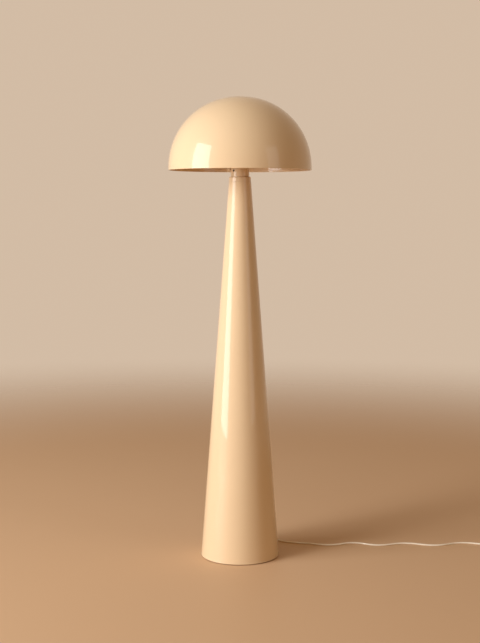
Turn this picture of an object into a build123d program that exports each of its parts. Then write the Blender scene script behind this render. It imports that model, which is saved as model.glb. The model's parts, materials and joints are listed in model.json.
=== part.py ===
from build123d import *
import math
import os

# Floor lamp: a tall enamelled cone, a short cup with a switched lampholder on top of it,
# and a domed shade that drops onto three arms. Millimetres, +Z up, origin on the floor at
# the lamp's axis, front towards -Y. The cord leaves at the back.

# ---- stem ----
stem_base_radius = 111.0
stem_top_radius = 31.0
stem_bottom = 3.0
stem_top = 1065.0
stem_wall = 1.5
hem_height = 5.5

# ---- foot ----
plate_bottom = 6.0
plate_thickness = 3.0
plate_hem_gap = 0.4
ring_width = 11.5
ring_thickness = 3.0
foot_inset = 13.0
foot_ring_width = 14.0
ballast_gap = 3.5
ballast_thickness = 24.0
ballast_chamfer = 2.5
notch_side_gap = 2.5
notch_end_gap = 2.8
notch_corner = 5.0
plate_screw_count = 6
plate_screw_radius = 2.0
plate_screw_head = 3.8
plate_screw_standing = 1.5
ballast_bolt_count = 3
ballast_bolt_circle = 60.0
ballast_bolt_radius = 3.0
ballast_bolt_head = 5.6
ballast_bolt_head_height = 3.0
ballast_bolt_rounding = 1.5
ballast_bolt_depth = 16.0

# ---- cap, nipple and cup on top of the stem ----
cap_step = 0.6
cap_height = 13.4
cap_web = 4.0
cap_wall = 3.0
cap_spigot = 12.0
cap_rounding = 2.0
cup_wall = 1.5
cup_floor = 2.0
cup_height = 41.6
cup_rounding = 1.2
nipple_radius = 5.0
nipple_bore = 4.0
nipple_tail = 9.0
nipple_engagement = 9.0
nut_flats = 14.0
nut_height = 4.5
washer_radius = 10.0
washer_thickness = 1.5

# ---- lampholder ----
thread_bore = 13.7
thread_wall = 0.5
thread_foot = 2.0
thread_height = 24.0
shell_gap = 0.8
shell_wall = 4.5
shell_height = 32.0
shell_rounding = 1.0
flange_width = 3.0
flange_thickness = 3.0
flange_gap = 2.0
base_step = 1.0
base_height = 27.0
base_rounding = 2.0
block_height = 5.0
groove_inset = 2.0
groove_depth = 1.2
contact_width = 5.0
contact_thickness = 0.5
contact_rise = 1.4
contact_back = 6.0
contact_ramp_start = 2.5
contact_ramp_end = 0.5
contact_front = 4.5
contact_bend = 1.5
cup_screw_angle = -132.0
cup_screw_drop = 4.3
cup_screw_radius = 2.0
cup_screw_head = 2.9
cup_screw_head_height = 1.3
cup_screw_rounding = 0.9
cup_screw_socket = 2.5
cup_screw_socket_depth = 0.9

# ---- switch ----
switch_height = 13.0
bush_radius = 4.5
bush_length = 13.0
shaft_radius = 3.0
shaft_length = 24.0
shaft_chamfer = 0.4
shaft_end_gap = 0.5
knob_radius = 7.8
knob_tip_radius = 6.6
knob_length = 9.2
knob_nose = 2.6
knob_edge = 0.8
knob_end_wall = 3.0
knob_gap = 0.7
flute_count = 14
flute_radius = 1.1
flute_offset = 0.35
flute_land = 1.6

# ---- shade carrier ----
hub_rim = 2.0
carrier_thickness = 2.0
arm_count = 3
arm_first_angle = 90.0
arm_width = 11.0
arm_root_flat = 13.0
arm_rise = 30.0
arm_bend = 8.0
arm_tip_flat = 26.0
arm_tip_land = 0.5
arm_margin = 38.0
pad_radius = 5.5
pad_thickness = 2.2
stud_inset = 10.0
stud_radius = 2.5
stud_nose = 0.6
stud_standing = 9.0
stud_head_radius = 4.2
stud_head_height = 1.6
stud_head_rounding = 1.0
shade_ring_wall = 3.9
shade_ring_lip = 3.6
shade_ring_lip_thickness = 2.4
shade_ring_height = 10.0
grip_count = 12
grip_radius = 1.5
grip_offset = 0.6
grip_land = 0.8

# ---- shade ----
shade_radius = 200.0
shade_height = 203.0
shade_hang = 57.25
skirt = 3.5
shade_wall = 1.5
fullness = 0.57
bracket_width = 18.0
bracket_thickness = 1.6
bracket_flange = 16.0
bracket_inner_margin = 8.0
bracket_land = 1.0
bracket_seam = 0.1

# ---- bulb ----
bulb_radius = 30.0
bulb_length = 105.0
bulb_wall = 1.0
bulb_neck_overlap = 6.0
bulb_neck_pull = 0.38
bulb_belly_pull = 0.42
bulb_cement = 0.2
bulb_cap_play = 0.5
bulb_cap_wall = 0.4
bulb_cap_height = 21.0
insulator_height = 4.0
insulator_step = 0.6
insulator_foot = 6.5
tip_radius = 4.7
tip_height = 1.0
tip_rounding = 0.7

# ---- cord ----
cord_diameter = 5.0
boot_flange = 7.6
boot_flange_thickness = 2.6
boot_root_radius = 6.0
boot_tip_radius = 3.7
boot_length = 31.0
boot_hole = 5.4
boot_collar = 6.6
boot_collar_reach = 4.6
boot_ring_gap = 0.4
inner_bend = 25.0
inner_lean_bend = 200.0
inner_straight = 26.0
inner_lean_drop = 35.0
inner_overreach = 1.5
clamp_width = 22.0
clamp_depth = 10.0
clamp_cover = 3.0
clamp_offset = 2.0
clamp_rounding = 2.5
clamp_screw_radius = 1.6
clamp_screw_spacing = 14.0
clamp_screw_head = 3.0
clamp_screw_head_height = 1.8
clamp_screw_rounding = 1.0
clamp_screw_length = 12.0

# ---- put-away coil, its tie and the plug ----
coil_centre_x = 797.0
coil_centre_y = 126.0
coil_radius = 37.0
turn_pitch = 5.6
layer_half_turns = 6
tie_thickness = 0.8
tie_width = 9.0
tail_level = 10.0
tail_drop = 18.0
plug_boot_length = 13.0
plug_boot_radius = 4.6
plug_boot_tip_radius = 3.5
plug_back_width = 17.0
plug_width = 35.3
plug_thickness = 13.7
plug_taper = 13.0
plug_depth = 35.0
plug_rounding = 2.6
plug_corner = 4.0
plug_axis_height = 7.0
pin_radius = 2.0
pin_length = 19.0
pin_spacing = 18.6
pin_rounding = 1.2
pin_root = 8.0
pin_root_radius = 1.6

# ---- clearances ----
slip = 0.05
running = 0.05
seat = 0.3
through = 1.0

# ---- heights and radii that follow from the sizes above ----
cord_radius = cord_diameter / 2
stem_slope = (stem_base_radius - stem_top_radius) / (stem_top - stem_bottom)
plate_top = plate_bottom + plate_thickness
ring_top = plate_top + ring_thickness
ring_outer_radius = stem_base_radius - (plate_top - stem_bottom) * stem_slope - stem_wall - slip
ring_inner_radius = ring_outer_radius - ring_width
foot_outer_radius = stem_base_radius - foot_inset
foot_inner_radius = foot_outer_radius - foot_ring_width
ballast_radius = ring_inner_radius - ballast_gap
ballast_top = plate_top + ballast_thickness
exit_height = ring_top + boot_ring_gap + boot_collar
wall_at_exit = stem_base_radius - (exit_height - stem_bottom) * stem_slope
boot_end = wall_at_exit + boot_length
inner_bend_y = wall_at_exit - stem_wall - inner_straight - inner_bend
cap_radius = stem_top_radius - cap_step
cap_top = stem_top + cap_height
cup_floor_top = cap_top + cup_floor
cup_top = cap_top + cup_height
shell_bore = thread_bore + thread_wall + shell_gap
shell_radius = shell_bore + shell_wall
flange_radius = shell_radius + flange_width
cup_radius = flange_radius + flange_gap + cup_wall
base_radius = shell_radius - base_step
base_bottom = cup_floor_top + washer_thickness + nut_height + seat
base_top = base_bottom + base_height
nipple_top = base_bottom + nipple_engagement
flange_top = cup_top
shell_bottom = base_top
shell_top = shell_bottom + shell_height
block_top = shell_bottom + block_height
knob_height = base_bottom + switch_height
knob_start = cup_radius + knob_gap
knob_end = knob_start + knob_length
shaft_outer_end = knob_end - knob_end_wall
shaft_inner_end = shaft_outer_end - shaft_length
shade_ring_radius = shell_radius + shade_ring_wall
shade_ring_flange = shade_ring_radius + shade_ring_lip
hub_radius = shade_ring_flange + hub_rim
hub_bottom = cup_top
hub_top = hub_bottom + carrier_thickness
arm_tip_top = hub_top + arm_rise
arm_tip_bottom = arm_tip_top - carrier_thickness
arm_knee = hub_radius + arm_root_flat
arm_reach = shade_radius - arm_margin
arm_shoulder = arm_reach - arm_tip_flat
stud_circle = arm_reach - stud_inset
pad_top = arm_tip_top + pad_thickness
shelf_bottom = pad_top + slip
shelf_top = shelf_bottom + bracket_thickness
rim_height = shelf_bottom - shade_hang
shade_top = rim_height + shade_height
spring_line = rim_height + skirt
tip_bottom = block_top + contact_thickness + contact_rise + slip
bulb_cap_radius = thread_bore - bulb_cap_play
bulb_neck_radius = bulb_cap_radius - bulb_cap_wall - bulb_cement
bulb_cap_bottom = tip_bottom + tip_height + insulator_height
bulb_cap_top = bulb_cap_bottom + bulb_cap_height
bulb_crown = tip_bottom + bulb_length
layer_one = tie_thickness + seat + cord_radius
layer_two = layer_one + turn_pitch
inner_turn = coil_radius - layer_half_turns / 2 * turn_pitch

# The cord's way over the floor, from the boot to the coil. It turns behind the foot and
# comes out on the right in low, uneven waves.
route = [
    (0, boot_end, exit_height),
    (0, 163, exit_height),
    (3, 186, 11.0),
    (15, 206, 5.0),
    (37, 218, 2.7),
    (62, 213, 2.6),
    (80, 194, 2.6),
    (91, 168, 2.6),
    (104, 142, 2.6),
    (128, 119, 2.6),
    (162, 105, 2.6),
    (204, 98, 2.6),
    (243, 82.5, 2.6),
    (281, 81.5, 2.6),
    (319, 103, 2.6),
    (354, 102.5, 2.6),
    (389, 80, 2.6),
    (427, 78, 2.6),
    (466, 98, 2.6),
    (507, 98.5, 2.6),
    (551, 78.5, 2.6),
    (593, 76.5, 2.6),
    (639, 103, 2.6),
    (682, 102.5, 2.6),
    (722, 84, 2.7),
    (757, coil_centre_y - coil_radius, layer_one),
    (coil_centre_x - cord_diameter, coil_centre_y - coil_radius, layer_one),
]


def stem_radius(height, inset=0.0):
    """Radius of the cone's outside at a height, less an inset."""
    return stem_base_radius - (height - stem_bottom) * stem_slope - inset


def turned(*corners):
    """Solid turned about the lamp's axis from (radius, height) corners."""
    outline = Polyline(*[(radius, 0, height) for radius, height in corners], close=True)
    return revolve(make_face(outline), axis=Axis.Z)


def rod(radius, bottom, top):
    """Upright cylinder on the lamp's axis."""
    return Pos(0, 0, bottom) * Cylinder(radius, top - bottom, align=(Align.CENTER, Align.CENTER, Align.MIN))


def tube(outer, inner, bottom, top):
    """Upright tube on the lamp's axis."""
    return rod(outer, bottom, top) - rod(inner, bottom, top)


def cone_rod(bottom_radius, top_radius, bottom, top):
    """Upright cone on the lamp's axis."""
    return turned((0, bottom), (bottom_radius, bottom), (top_radius, top), (0, top))


def block(x_range, y_range, z_range):
    """Box between two limits on each axis."""
    size = [high - low for low, high in (x_range, y_range, z_range)]
    centre = [(high + low) / 2 for low, high in (x_range, y_range, z_range)]
    return Pos(*centre) * Box(*size)


def around(count, first_angle=0.0):
    """Equal turns about the lamp's axis."""
    return [Rot(0, 0, first_angle + 360 / count * step) for step in range(count)]


def outward(angle, height):
    """Frame whose Z points out of the lamp's axis at an angle and a height."""
    return Pos(0, 0, height) * Rot(0, 0, angle) * Rot(0, 90, 0)


def stem_filling(inset):
    """What the cone holds, as a solid whose side lies an inset inside its outside."""
    bottom, top = stem_bottom - through, stem_top + through
    return cone_rod(stem_radius(bottom, inset), stem_radius(top, inset), bottom, top)


# ---- foot ----
def make_stem_cone():
    """Rolled sheet cone, open at both ends, with its lower edge folded inwards in a round hem."""
    fold = 2 * stem_wall
    hem_top = stem_bottom + hem_height
    low = stem_bottom + stem_wall
    outside = Line((stem_radius(low), 0, low), (stem_radius(stem_top), 0, stem_top))
    top = Line(outside @ 1, (stem_radius(stem_top, stem_wall), 0, stem_top))
    inside = Line(top @ 1, (stem_radius(hem_top, stem_wall), 0, hem_top))
    shelf = Line(inside @ 1, (stem_radius(hem_top, fold), 0, hem_top))
    hem = Line(shelf @ 1, (stem_radius(low, fold), 0, low))
    edge = ThreePointArc(hem @ 1, (stem_radius(low, stem_wall), 0, stem_bottom), outside @ 0)
    cone = revolve(make_face([outside, top, inside, shelf, hem, edge]), axis=Axis.Z)
    exit_hole = outward(90, exit_height) * Cylinder(
        boot_hole, 2 * stem_base_radius, align=(Align.CENTER, Align.CENTER, Align.MIN)
    )
    return cone - exit_hole


def screw_circle():
    """Radius on which the plate's screws stand, in the middle of the ring."""
    return ring_outer_radius - ring_width / 2


def at_plate_screws(piece):
    """One copy of a piece at each of the plate's screws, none at the cord's exit."""
    turns = around(plate_screw_count)
    return [turn * Pos(screw_circle(), 0, 0) * piece for turn in turns]


def at_ballast_bolts(piece):
    """One copy of a piece at each of the ballast's bolts, none in its notch."""
    turns = around(ballast_bolt_count, 90 / ballast_bolt_count)
    return [turn * Pos(ballast_bolt_circle, 0, 0) * piece for turn in turns]


def make_base_ring():
    """Ring welded inside the cone just above the hem, which the plate is screwed to."""
    ring = turned(
        (ring_inner_radius, plate_top),
        (ring_outer_radius, plate_top),
        (stem_radius(ring_top, stem_wall + slip), ring_top),
        (ring_inner_radius, ring_top),
    )
    return ring - at_plate_screws(rod(plate_screw_radius + slip, plate_top - through, ring_top + through))


def make_base_plate():
    """Steel disc that closes the foot, with countersunk holes for its own screws."""
    radius = stem_radius(stem_bottom + hem_height, 2 * stem_wall + plate_hem_gap)
    plate = rod(radius, plate_bottom, plate_top)
    sink_depth = plate_screw_head - plate_screw_radius
    sink_top = plate_bottom + sink_depth
    hole = rod(plate_screw_radius + slip, plate_bottom - through, plate_top + through)
    sink = cone_rod(plate_screw_head + slip, plate_screw_radius + slip, plate_bottom, sink_top)
    plate -= at_plate_screws(hole + sink)
    bolt_hole = rod(ballast_bolt_radius + slip, plate_bottom - through, plate_top + through)
    return plate - at_ballast_bolts(bolt_hole)


def make_plate_screws():
    """Countersunk screws, flush with the plate, that reach up through the ring."""
    sink_depth = plate_screw_head - plate_screw_radius
    head = cone_rod(plate_screw_head, plate_screw_radius, plate_bottom, plate_bottom + sink_depth)
    shank = rod(plate_screw_radius, plate_bottom + sink_depth, ring_top + plate_screw_standing)
    return at_plate_screws(head + shank)


def make_ballast():
    """Cast disc on the plate, with a notch at the back where the cord comes down."""
    disc = rod(ballast_radius, plate_top, ballast_top)
    disc = chamfer(disc.edges().filter_by(GeomType.CIRCLE).group_by(Axis.Z)[-1], ballast_chamfer)
    notch_start = inner_bend_y - cord_radius - notch_end_gap
    half = clamp_width / 2 + notch_side_gap
    height_range = (plate_top - through, ballast_top + through)
    disc -= block((-half, half), (notch_start, ballast_radius + through), height_range)
    corners = disc.edges().filter_by(Axis.Z).group_by(Axis.Y)[0]
    disc = fillet(corners, notch_corner)
    hole_top = plate_top + ballast_bolt_depth + through
    return disc - at_ballast_bolts(rod(ballast_bolt_radius + slip, plate_top - through, hole_top))


def make_ballast_bolts():
    """Button-headed bolts that hold the ballast from under the plate."""
    head = rod(ballast_bolt_head, plate_bottom - ballast_bolt_head_height, plate_bottom)
    head = fillet(head.edges().group_by(Axis.Z)[0], ballast_bolt_rounding)
    shank = rod(ballast_bolt_radius, plate_bottom, plate_top + ballast_bolt_depth)
    return at_ballast_bolts(head + shank)


def make_foot_ring():
    """Soft ring under the plate that the lamp stands on."""
    return tube(foot_outer_radius, foot_inner_radius, 0, plate_bottom)


# ---- cord inside the lamp ----
def make_cord_boot():
    """Moulded boot in the cone's wall: a collar inside, a flange outside and a tapered sleeve."""
    frame = outward(90, exit_height)
    collar_start = wall_at_exit - stem_wall - boot_collar_reach
    flange_end = wall_at_exit + boot_flange_thickness
    neck = frame * rod(boot_hole - slip, collar_start, flange_end)
    collar = frame * rod(boot_collar, collar_start, wall_at_exit) & stem_filling(stem_wall + slip)
    sleeve = frame * (
        rod(boot_flange, collar_start, flange_end)
        + cone_rod(boot_root_radius, boot_tip_radius, flange_end, boot_end)
    )
    sleeve -= stem_filling(-slip)
    boot = neck + collar + sleeve
    return boot - frame * rod(cord_radius + slip, collar_start - through, boot_end + through)


def swept_cord(path):
    """Round cord along a path."""
    section = Plane(origin=path @ 0, z_dir=path % 0) * Circle(cord_radius)
    return sweep(section, path=path)


def inner_points():
    """Corners of the cord inside the lamp, from the boot's end to the lampholder."""
    return [
        (0, boot_end, exit_height),
        (0, inner_bend_y, exit_height),
        (0, 0, stem_top - inner_lean_drop),
        (0, 0, nipple_top + inner_overreach),
    ]


def make_inner_cord():
    """The cord from the boot's end, through the clamp, up the cone and through the nipple."""
    return swept_cord(FilletPolyline(*inner_points(), radius=[inner_bend, inner_lean_bend]))


def clamp_middle():
    """Where the clamp stands on the plate, on the cord's straight stretch."""
    return inner_bend_y + inner_bend + clamp_offset + clamp_depth / 2


def at_clamp_screws(piece):
    """One copy of a piece on each side of the cord."""
    half = clamp_screw_spacing / 2
    return [Pos(side * half, clamp_middle(), 0) * piece for side in (-1, 1)]


def make_cord_clamp():
    """Block on the plate that grips the cord in a round bore, with a screw on each side."""
    top = exit_height + cord_radius + clamp_cover
    middle = clamp_middle()
    half = clamp_width / 2
    y_range = (middle - clamp_depth / 2, middle + clamp_depth / 2)
    clamp = block((-half, half), y_range, (plate_top, top))
    clamp = fillet(clamp.edges().filter_by(Axis.Y).group_by(Axis.Z)[-1], clamp_rounding)
    clamp -= outward(90, exit_height) * rod(cord_radius + slip, 0, stem_base_radius)
    return clamp - at_clamp_screws(rod(clamp_screw_radius + slip, plate_top - through, top + through))


def make_clamp_screws():
    """Pan-headed screws down through the clamp to the plate."""
    top = exit_height + cord_radius + clamp_cover
    head = rod(clamp_screw_head, top, top + clamp_screw_head_height)
    head = fillet(head.edges().group_by(Axis.Z)[-1], clamp_screw_rounding)
    return at_clamp_screws(head + rod(clamp_screw_radius, top - clamp_screw_length, top))


# ---- cap, nipple and cup ----
def make_top_cap():
    """Turned cap on the cone: a collar in line with it, a spigot inside and a web for the nipple."""
    spigot_bottom = stem_top - cap_spigot
    spigot = stem_radius(stem_top, stem_wall + slip)
    bore = spigot - cap_wall
    cap = turned(
        (nipple_radius + slip, cap_top),
        (cap_radius, cap_top),
        (cap_radius, stem_top),
        (spigot, stem_top),
        (spigot, spigot_bottom),
        (bore, spigot_bottom),
        (bore, cap_top - cap_web),
        (nipple_radius + slip, cap_top - cap_web),
    )
    rim = cap.edges().filter_by(GeomType.CIRCLE).group_by(Axis.Z)[-1].sort_by(SortBy.RADIUS)[-1]
    return fillet(rim, cap_rounding)


def make_nipple():
    """Threaded tube that ties cap, cup and lampholder together and carries the cord up."""
    return tube(nipple_radius, nipple_bore, cap_top - cap_web - nipple_tail, nipple_top)


def hexagon_nut(bottom):
    """Hexagon nut on the nipple."""
    nut = extrude(Pos(0, 0, bottom) * RegularPolygon(nut_flats / 2, 6, major_radius=False), nut_height)
    return nut - rod(nipple_radius + slip, bottom - through, bottom + nut_height + through)


def make_nipple_nuts():
    """One nut under the cap's web and one on the cup's floor."""
    return [hexagon_nut(cap_top - cap_web - nut_height), hexagon_nut(cup_floor_top + washer_thickness)]


def make_nipple_washer():
    """Washer under the upper nut."""
    return tube(washer_radius, nipple_radius + slip, cup_floor_top, cup_floor_top + washer_thickness)


def make_holder_cup():
    """Deep drawn cup round the lampholder, with side holes for the switch and the set screw."""
    cup = turned(
        (nipple_radius + slip, cap_top),
        (cup_radius, cap_top),
        (cup_radius, cup_top),
        (cup_radius - cup_wall, cup_top),
        (cup_radius - cup_wall, cup_floor_top),
        (nipple_radius + slip, cup_floor_top),
    )
    foot = cup.edges().filter_by(GeomType.CIRCLE).group_by(Axis.Z)[0].sort_by(SortBy.RADIUS)[-1]
    cup = fillet(foot, cup_rounding)
    bush_hole = rod(bush_radius + seat, base_radius, cup_radius + through)
    screw_hole = rod(cup_screw_radius + slip, base_radius, cup_radius + through)
    cup -= outward(180, knob_height) * bush_hole
    return cup - outward(cup_screw_angle, screw_height()) * screw_hole


def screw_height():
    """Height of the cup's set screw, a little below the switch."""
    return knob_height - cup_screw_drop


def make_cup_screw():
    """Round-headed set screw that locks the cup against the lampholder."""
    head_start = cup_radius + slip
    head_end = head_start + cup_screw_head_height
    shank = rod(cup_screw_radius, base_radius + slip, head_start)
    head = rod(cup_screw_head, head_start, head_end)
    head = fillet(head.edges().group_by(Axis.Z)[-1], cup_screw_rounding)
    socket = RegularPolygon(cup_screw_socket / 2, 6, major_radius=False)
    head -= extrude(Pos(0, 0, head_end - cup_screw_socket_depth) * socket, cup_screw_socket_depth)
    return outward(cup_screw_angle, screw_height()) * (shank + head)


# ---- lampholder and switch ----
def make_holder_base():
    """Moulded lower half of the lampholder, bored for the nipple, the cord and the switch."""
    body = rod(base_radius, base_bottom, base_top)
    body = fillet(body.edges().group_by(Axis.Z)[0], base_rounding)
    body -= rod(nipple_radius + slip, base_bottom - through, nipple_top + slip)
    body -= rod(cord_radius + slip, nipple_top, nipple_top + inner_overreach + slip)
    frame = outward(180, knob_height)
    body -= frame * rod(bush_radius + slip, cup_radius - bush_length, base_radius + through)
    return body - frame * rod(shaft_radius + running, shaft_inner_end - shaft_end_gap, base_radius)


def make_switch_bush():
    """Brass bush in the lampholder's side, which the switch's shaft turns in."""
    frame = outward(180, knob_height)
    return frame * tube(bush_radius, shaft_radius + running, cup_radius - bush_length, cup_radius + seat)


def make_knob_shaft():
    """Steel shaft of the switch, from inside the lampholder to inside the knob."""
    shaft = rod(shaft_radius, shaft_inner_end, shaft_outer_end)
    shaft = chamfer(shaft.edges().filter_by(GeomType.CIRCLE), shaft_chamfer)
    return outward(180, knob_height) * shaft


def make_switch_knob():
    """Small tapered turn knob with a rounded nose and flutes round its side."""
    knob = cone_rod(knob_radius, knob_tip_radius, knob_start, knob_end)
    knob = fillet(knob.edges().filter_by(GeomType.CIRCLE).group_by(Axis.Z)[-1], knob_nose)
    knob = fillet(knob.edges().filter_by(GeomType.CIRCLE).group_by(Axis.Z)[0], knob_edge)
    flute = rod(flute_radius, knob_start + flute_land, knob_end + through)
    knob -= [turn * Pos(knob_radius + flute_offset, 0, 0) * flute for turn in around(flute_count)]
    knob -= rod(shaft_radius + slip, knob_start - through, shaft_outer_end + slip)
    return outward(180, knob_height) * knob


def make_holder_shell():
    """Upper half of the lampholder: a plain sleeve with a flange that the shade's carrier lies on."""
    low = flange_top - flange_thickness
    shell = turned(
        (shell_bore, shell_bottom),
        (shell_radius, shell_bottom),
        (shell_radius, low),
        (flange_radius, low),
        (flange_radius, flange_top),
        (shell_radius, flange_top),
        (shell_radius, shell_top),
        (shell_bore, shell_top),
    )
    mouth = shell.edges().filter_by(GeomType.CIRCLE).group_by(Axis.Z)[-1]
    return fillet(mouth, shell_rounding)


def make_contact_block():
    """Ceramic disc in the bottom of the shell that carries both contacts."""
    disc = rod(shell_bore - slip, shell_bottom, block_top)
    outer = thread_bore - thread_foot
    inner = contact_width + groove_inset
    return disc - tube(outer, inner, block_top - groove_depth, block_top + through)


def make_screw_shell():
    """Sheet brass sleeve that the bulb screws into, with a turned-in foot on the block."""
    outer = thread_bore + thread_wall
    top = block_top + thread_height
    foot = tube(outer, thread_bore - thread_foot, block_top, block_top + thread_wall)
    return tube(outer, thread_bore, block_top, top) + foot


def make_centre_contact():
    """Springy brass tongue under the bulb's tip."""
    low = block_top + contact_thickness / 2
    high = low + contact_rise
    line = FilletPolyline(
        (-contact_back, low),
        (-contact_ramp_start, low),
        (contact_ramp_end, high),
        (contact_front, high),
        radius=contact_bend,
    )
    return extrude(Plane.XZ * trace(line, contact_thickness), contact_width / 2, both=True)


# ---- shade carrier ----
def make_shade_carrier():
    """Pressed spider: a hub on the lampholder's flange and three arms cranked up to their tips."""
    low = hub_bottom + carrier_thickness / 2
    high = low + arm_rise
    line = FilletPolyline(
        (flange_radius, low), (arm_knee, low), (arm_shoulder, high), (arm_reach, high), radius=arm_bend
    )
    arm = extrude(Plane.XZ * trace(line, carrier_thickness), arm_width / 2, both=True)
    arm = fillet(arm.edges().filter_by(Axis.Z).group_by(Axis.X)[-1], arm_width / 2 - arm_tip_land)
    arm -= Pos(stud_circle, 0, 0) * rod(stud_radius, arm_tip_bottom - through, arm_tip_top + through)
    carrier = rod(hub_radius, hub_bottom, hub_top)
    carrier += [turn * arm for turn in around(arm_count, arm_first_angle)]
    return carrier - rod(shell_radius + 2 * slip, hub_bottom - through, hub_top + through)


def at_arm_tips(piece):
    """One copy of a piece at the stud's place on each arm."""
    return [turn * Pos(stud_circle, 0, 0) * piece for turn in around(arm_count, arm_first_angle)]


def make_carrier_studs():
    """Riveted studs at the arms' tips, round-nosed to find the shade's holes."""
    stud = rod(stud_radius, arm_tip_bottom, arm_tip_top + stud_standing)
    stud = fillet(stud.edges().group_by(Axis.Z)[-1], stud_radius - stud_nose)
    head = rod(stud_head_radius, arm_tip_bottom - stud_head_height, arm_tip_bottom)
    head = fillet(head.edges().group_by(Axis.Z)[0], stud_head_rounding)
    return at_arm_tips(stud + head)


def make_carrier_pads():
    """Soft washers round the studs that the shade's brackets rest on."""
    return at_arm_tips(tube(pad_radius, stud_radius + slip, arm_tip_top, pad_top))


def make_shade_ring():
    """Screwed ring on the lampholder that clamps the carrier, with finger grips round it."""
    step = hub_top + shade_ring_lip_thickness
    top = hub_top + shade_ring_height
    bore = shell_radius + slip
    ring = turned(
        (bore, hub_top),
        (shade_ring_flange, hub_top),
        (shade_ring_flange, step),
        (shade_ring_radius, step),
        (shade_ring_radius, top),
        (bore, top),
    )
    grip = Pos(shade_ring_radius + grip_offset, 0, 0) * rod(grip_radius, step + grip_land, top + through)
    return ring - [turn * grip for turn in around(grip_count)]


# ---- shade ----
def dome_line(inset):
    """Quarter outline of the dome, from the top of its short upright skirt to the crown."""
    radius = shade_radius - inset
    top = shade_top - inset
    rise = top - spring_line
    return Bezier(
        (radius, 0, spring_line),
        (radius, 0, spring_line + fullness * rise),
        (fullness * radius, 0, top),
        (0, 0, top),
    )


def dome_filling(inset):
    """What the dome holds, as a solid whose surface lies an inset inside its outside."""
    side = dome_line(inset)
    axis_line = Line(side @ 1, (0, 0, rim_height))
    mouth = Line(axis_line @ 1, (shade_radius - inset, 0, rim_height))
    skirt_line = Line(mouth @ 1, side @ 0)
    return revolve(make_face([side, axis_line, mouth, skirt_line]), axis=Axis.Z)


def make_shade_dome():
    """Spun dome of even wall with a rounded rim and an unbroken crown."""
    outside = dome_line(0)
    inside = dome_line(shade_wall)
    rim_start = rim_height + shade_wall / 2
    crown = Line(outside @ 1, inside @ 1)
    inner_skirt = Line(inside @ 0, (shade_radius - shade_wall, 0, rim_start))
    edge = ThreePointArc(
        inner_skirt @ 1, (shade_radius - shade_wall / 2, 0, rim_height), (shade_radius, 0, rim_start)
    )
    outer_skirt = Line(edge @ 1, outside @ 0)
    return revolve(make_face([outside, crown, inside, inner_skirt, edge, outer_skirt]), axis=Axis.Z)


def make_shade_brackets():
    """Angle brackets welded inside the dome, each with a shelf and a hole for a stud."""
    half = bracket_width / 2
    start = stud_circle - bracket_inner_margin
    filling = dome_filling(shade_wall + bracket_seam)
    core = dome_filling(shade_wall + bracket_seam + bracket_thickness)
    shelf = block((start, shade_radius), (-half, half), (shelf_bottom, shelf_top)) & filling
    upright = block((start, shade_radius), (-half, half), (shelf_bottom, shelf_bottom + bracket_flange))
    upright = (upright & filling) - core
    bracket = shelf + upright
    corners = bracket.edges().filter_by(Axis.Z).group_by(Axis.X)[0]
    bracket = fillet(corners, half - bracket_land)
    stud_hole = rod(stud_radius + seat, shelf_bottom - through, shelf_top + through)
    bracket -= Pos(stud_circle, 0, 0) * stud_hole
    return [turn * bracket for turn in around(arm_count, arm_first_angle)]


# ---- bulb ----
def bulb_line(inset):
    """Outline of the bulb's glass from its neck to its crown."""
    neck = bulb_neck_radius - inset
    belly = bulb_radius - inset
    centre = bulb_crown - bulb_radius
    low = bulb_cap_top - bulb_neck_overlap
    straight = Line((neck, 0, low), (neck, 0, bulb_cap_top))
    rise = centre - bulb_cap_top
    flare = Bezier(
        straight @ 1,
        (neck, 0, bulb_cap_top + bulb_neck_pull * rise),
        (belly, 0, centre - bulb_belly_pull * rise),
        (belly, 0, centre),
    )
    crown = TangentArc(flare @ 1, (0, 0, centre + belly), tangent=(0, 0, 1))
    return [straight, flare, crown]


def make_bulb_glass():
    """Frosted glass envelope of even wall, open at the neck inside the cap."""
    outside = bulb_line(0)
    inside = bulb_line(bulb_wall)
    neck_edge = Line(inside[0] @ 0, outside[0] @ 0)
    crown_edge = Line(outside[2] @ 1, inside[2] @ 1)
    return revolve(make_face(outside + [crown_edge] + inside + [neck_edge]), axis=Axis.Z)


def make_bulb_cap():
    """Sheet metal screw cap cemented round the neck."""
    wall = tube(bulb_cap_radius, bulb_cap_radius - bulb_cap_wall, bulb_cap_bottom, bulb_cap_top)
    floor = rod(bulb_cap_radius, bulb_cap_bottom, bulb_cap_bottom + bulb_cap_wall)
    return wall + floor


def make_bulb_insulator():
    """Black glass cone between the cap and the tip contact."""
    top_radius = bulb_cap_radius - insulator_step
    return cone_rod(insulator_foot, top_radius, tip_bottom + tip_height, bulb_cap_bottom)


def make_bulb_contact():
    """Tip contact of the bulb."""
    tip = rod(tip_radius, tip_bottom, tip_bottom + tip_height)
    return fillet(tip.edges().group_by(Axis.Z)[0], tip_rounding)


# ---- cord on the floor, coil, tie and plug ----
def route_radii(points):
    """Arc radius at each inner point: as large as its two runs allow."""
    radii = []
    for before, here, after in zip(points, points[1:], points[2:]):
        first = Vector(*here) - Vector(*before)
        second = Vector(*after) - Vector(*here)
        half_turn = math.radians(first.get_angle(second)) / 2
        radii.append(0.45 * min(first.length, second.length) / math.tan(half_turn))
    return radii


def make_floor_cord():
    """The cord from the boot to the coil, in straight runs joined by tangent arcs."""
    radii = route_radii(route)
    print("floor cord radii", [round(radius) for radius in radii])
    path = FilletPolyline(*route, radius=radii)
    cord = swept_cord(path)
    expected = math.pi * cord_radius**2 * path.length
    print("floor cord length", round(path.length, 1), "volume ratio", round(cord.volume / expected, 5))
    return cord


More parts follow.
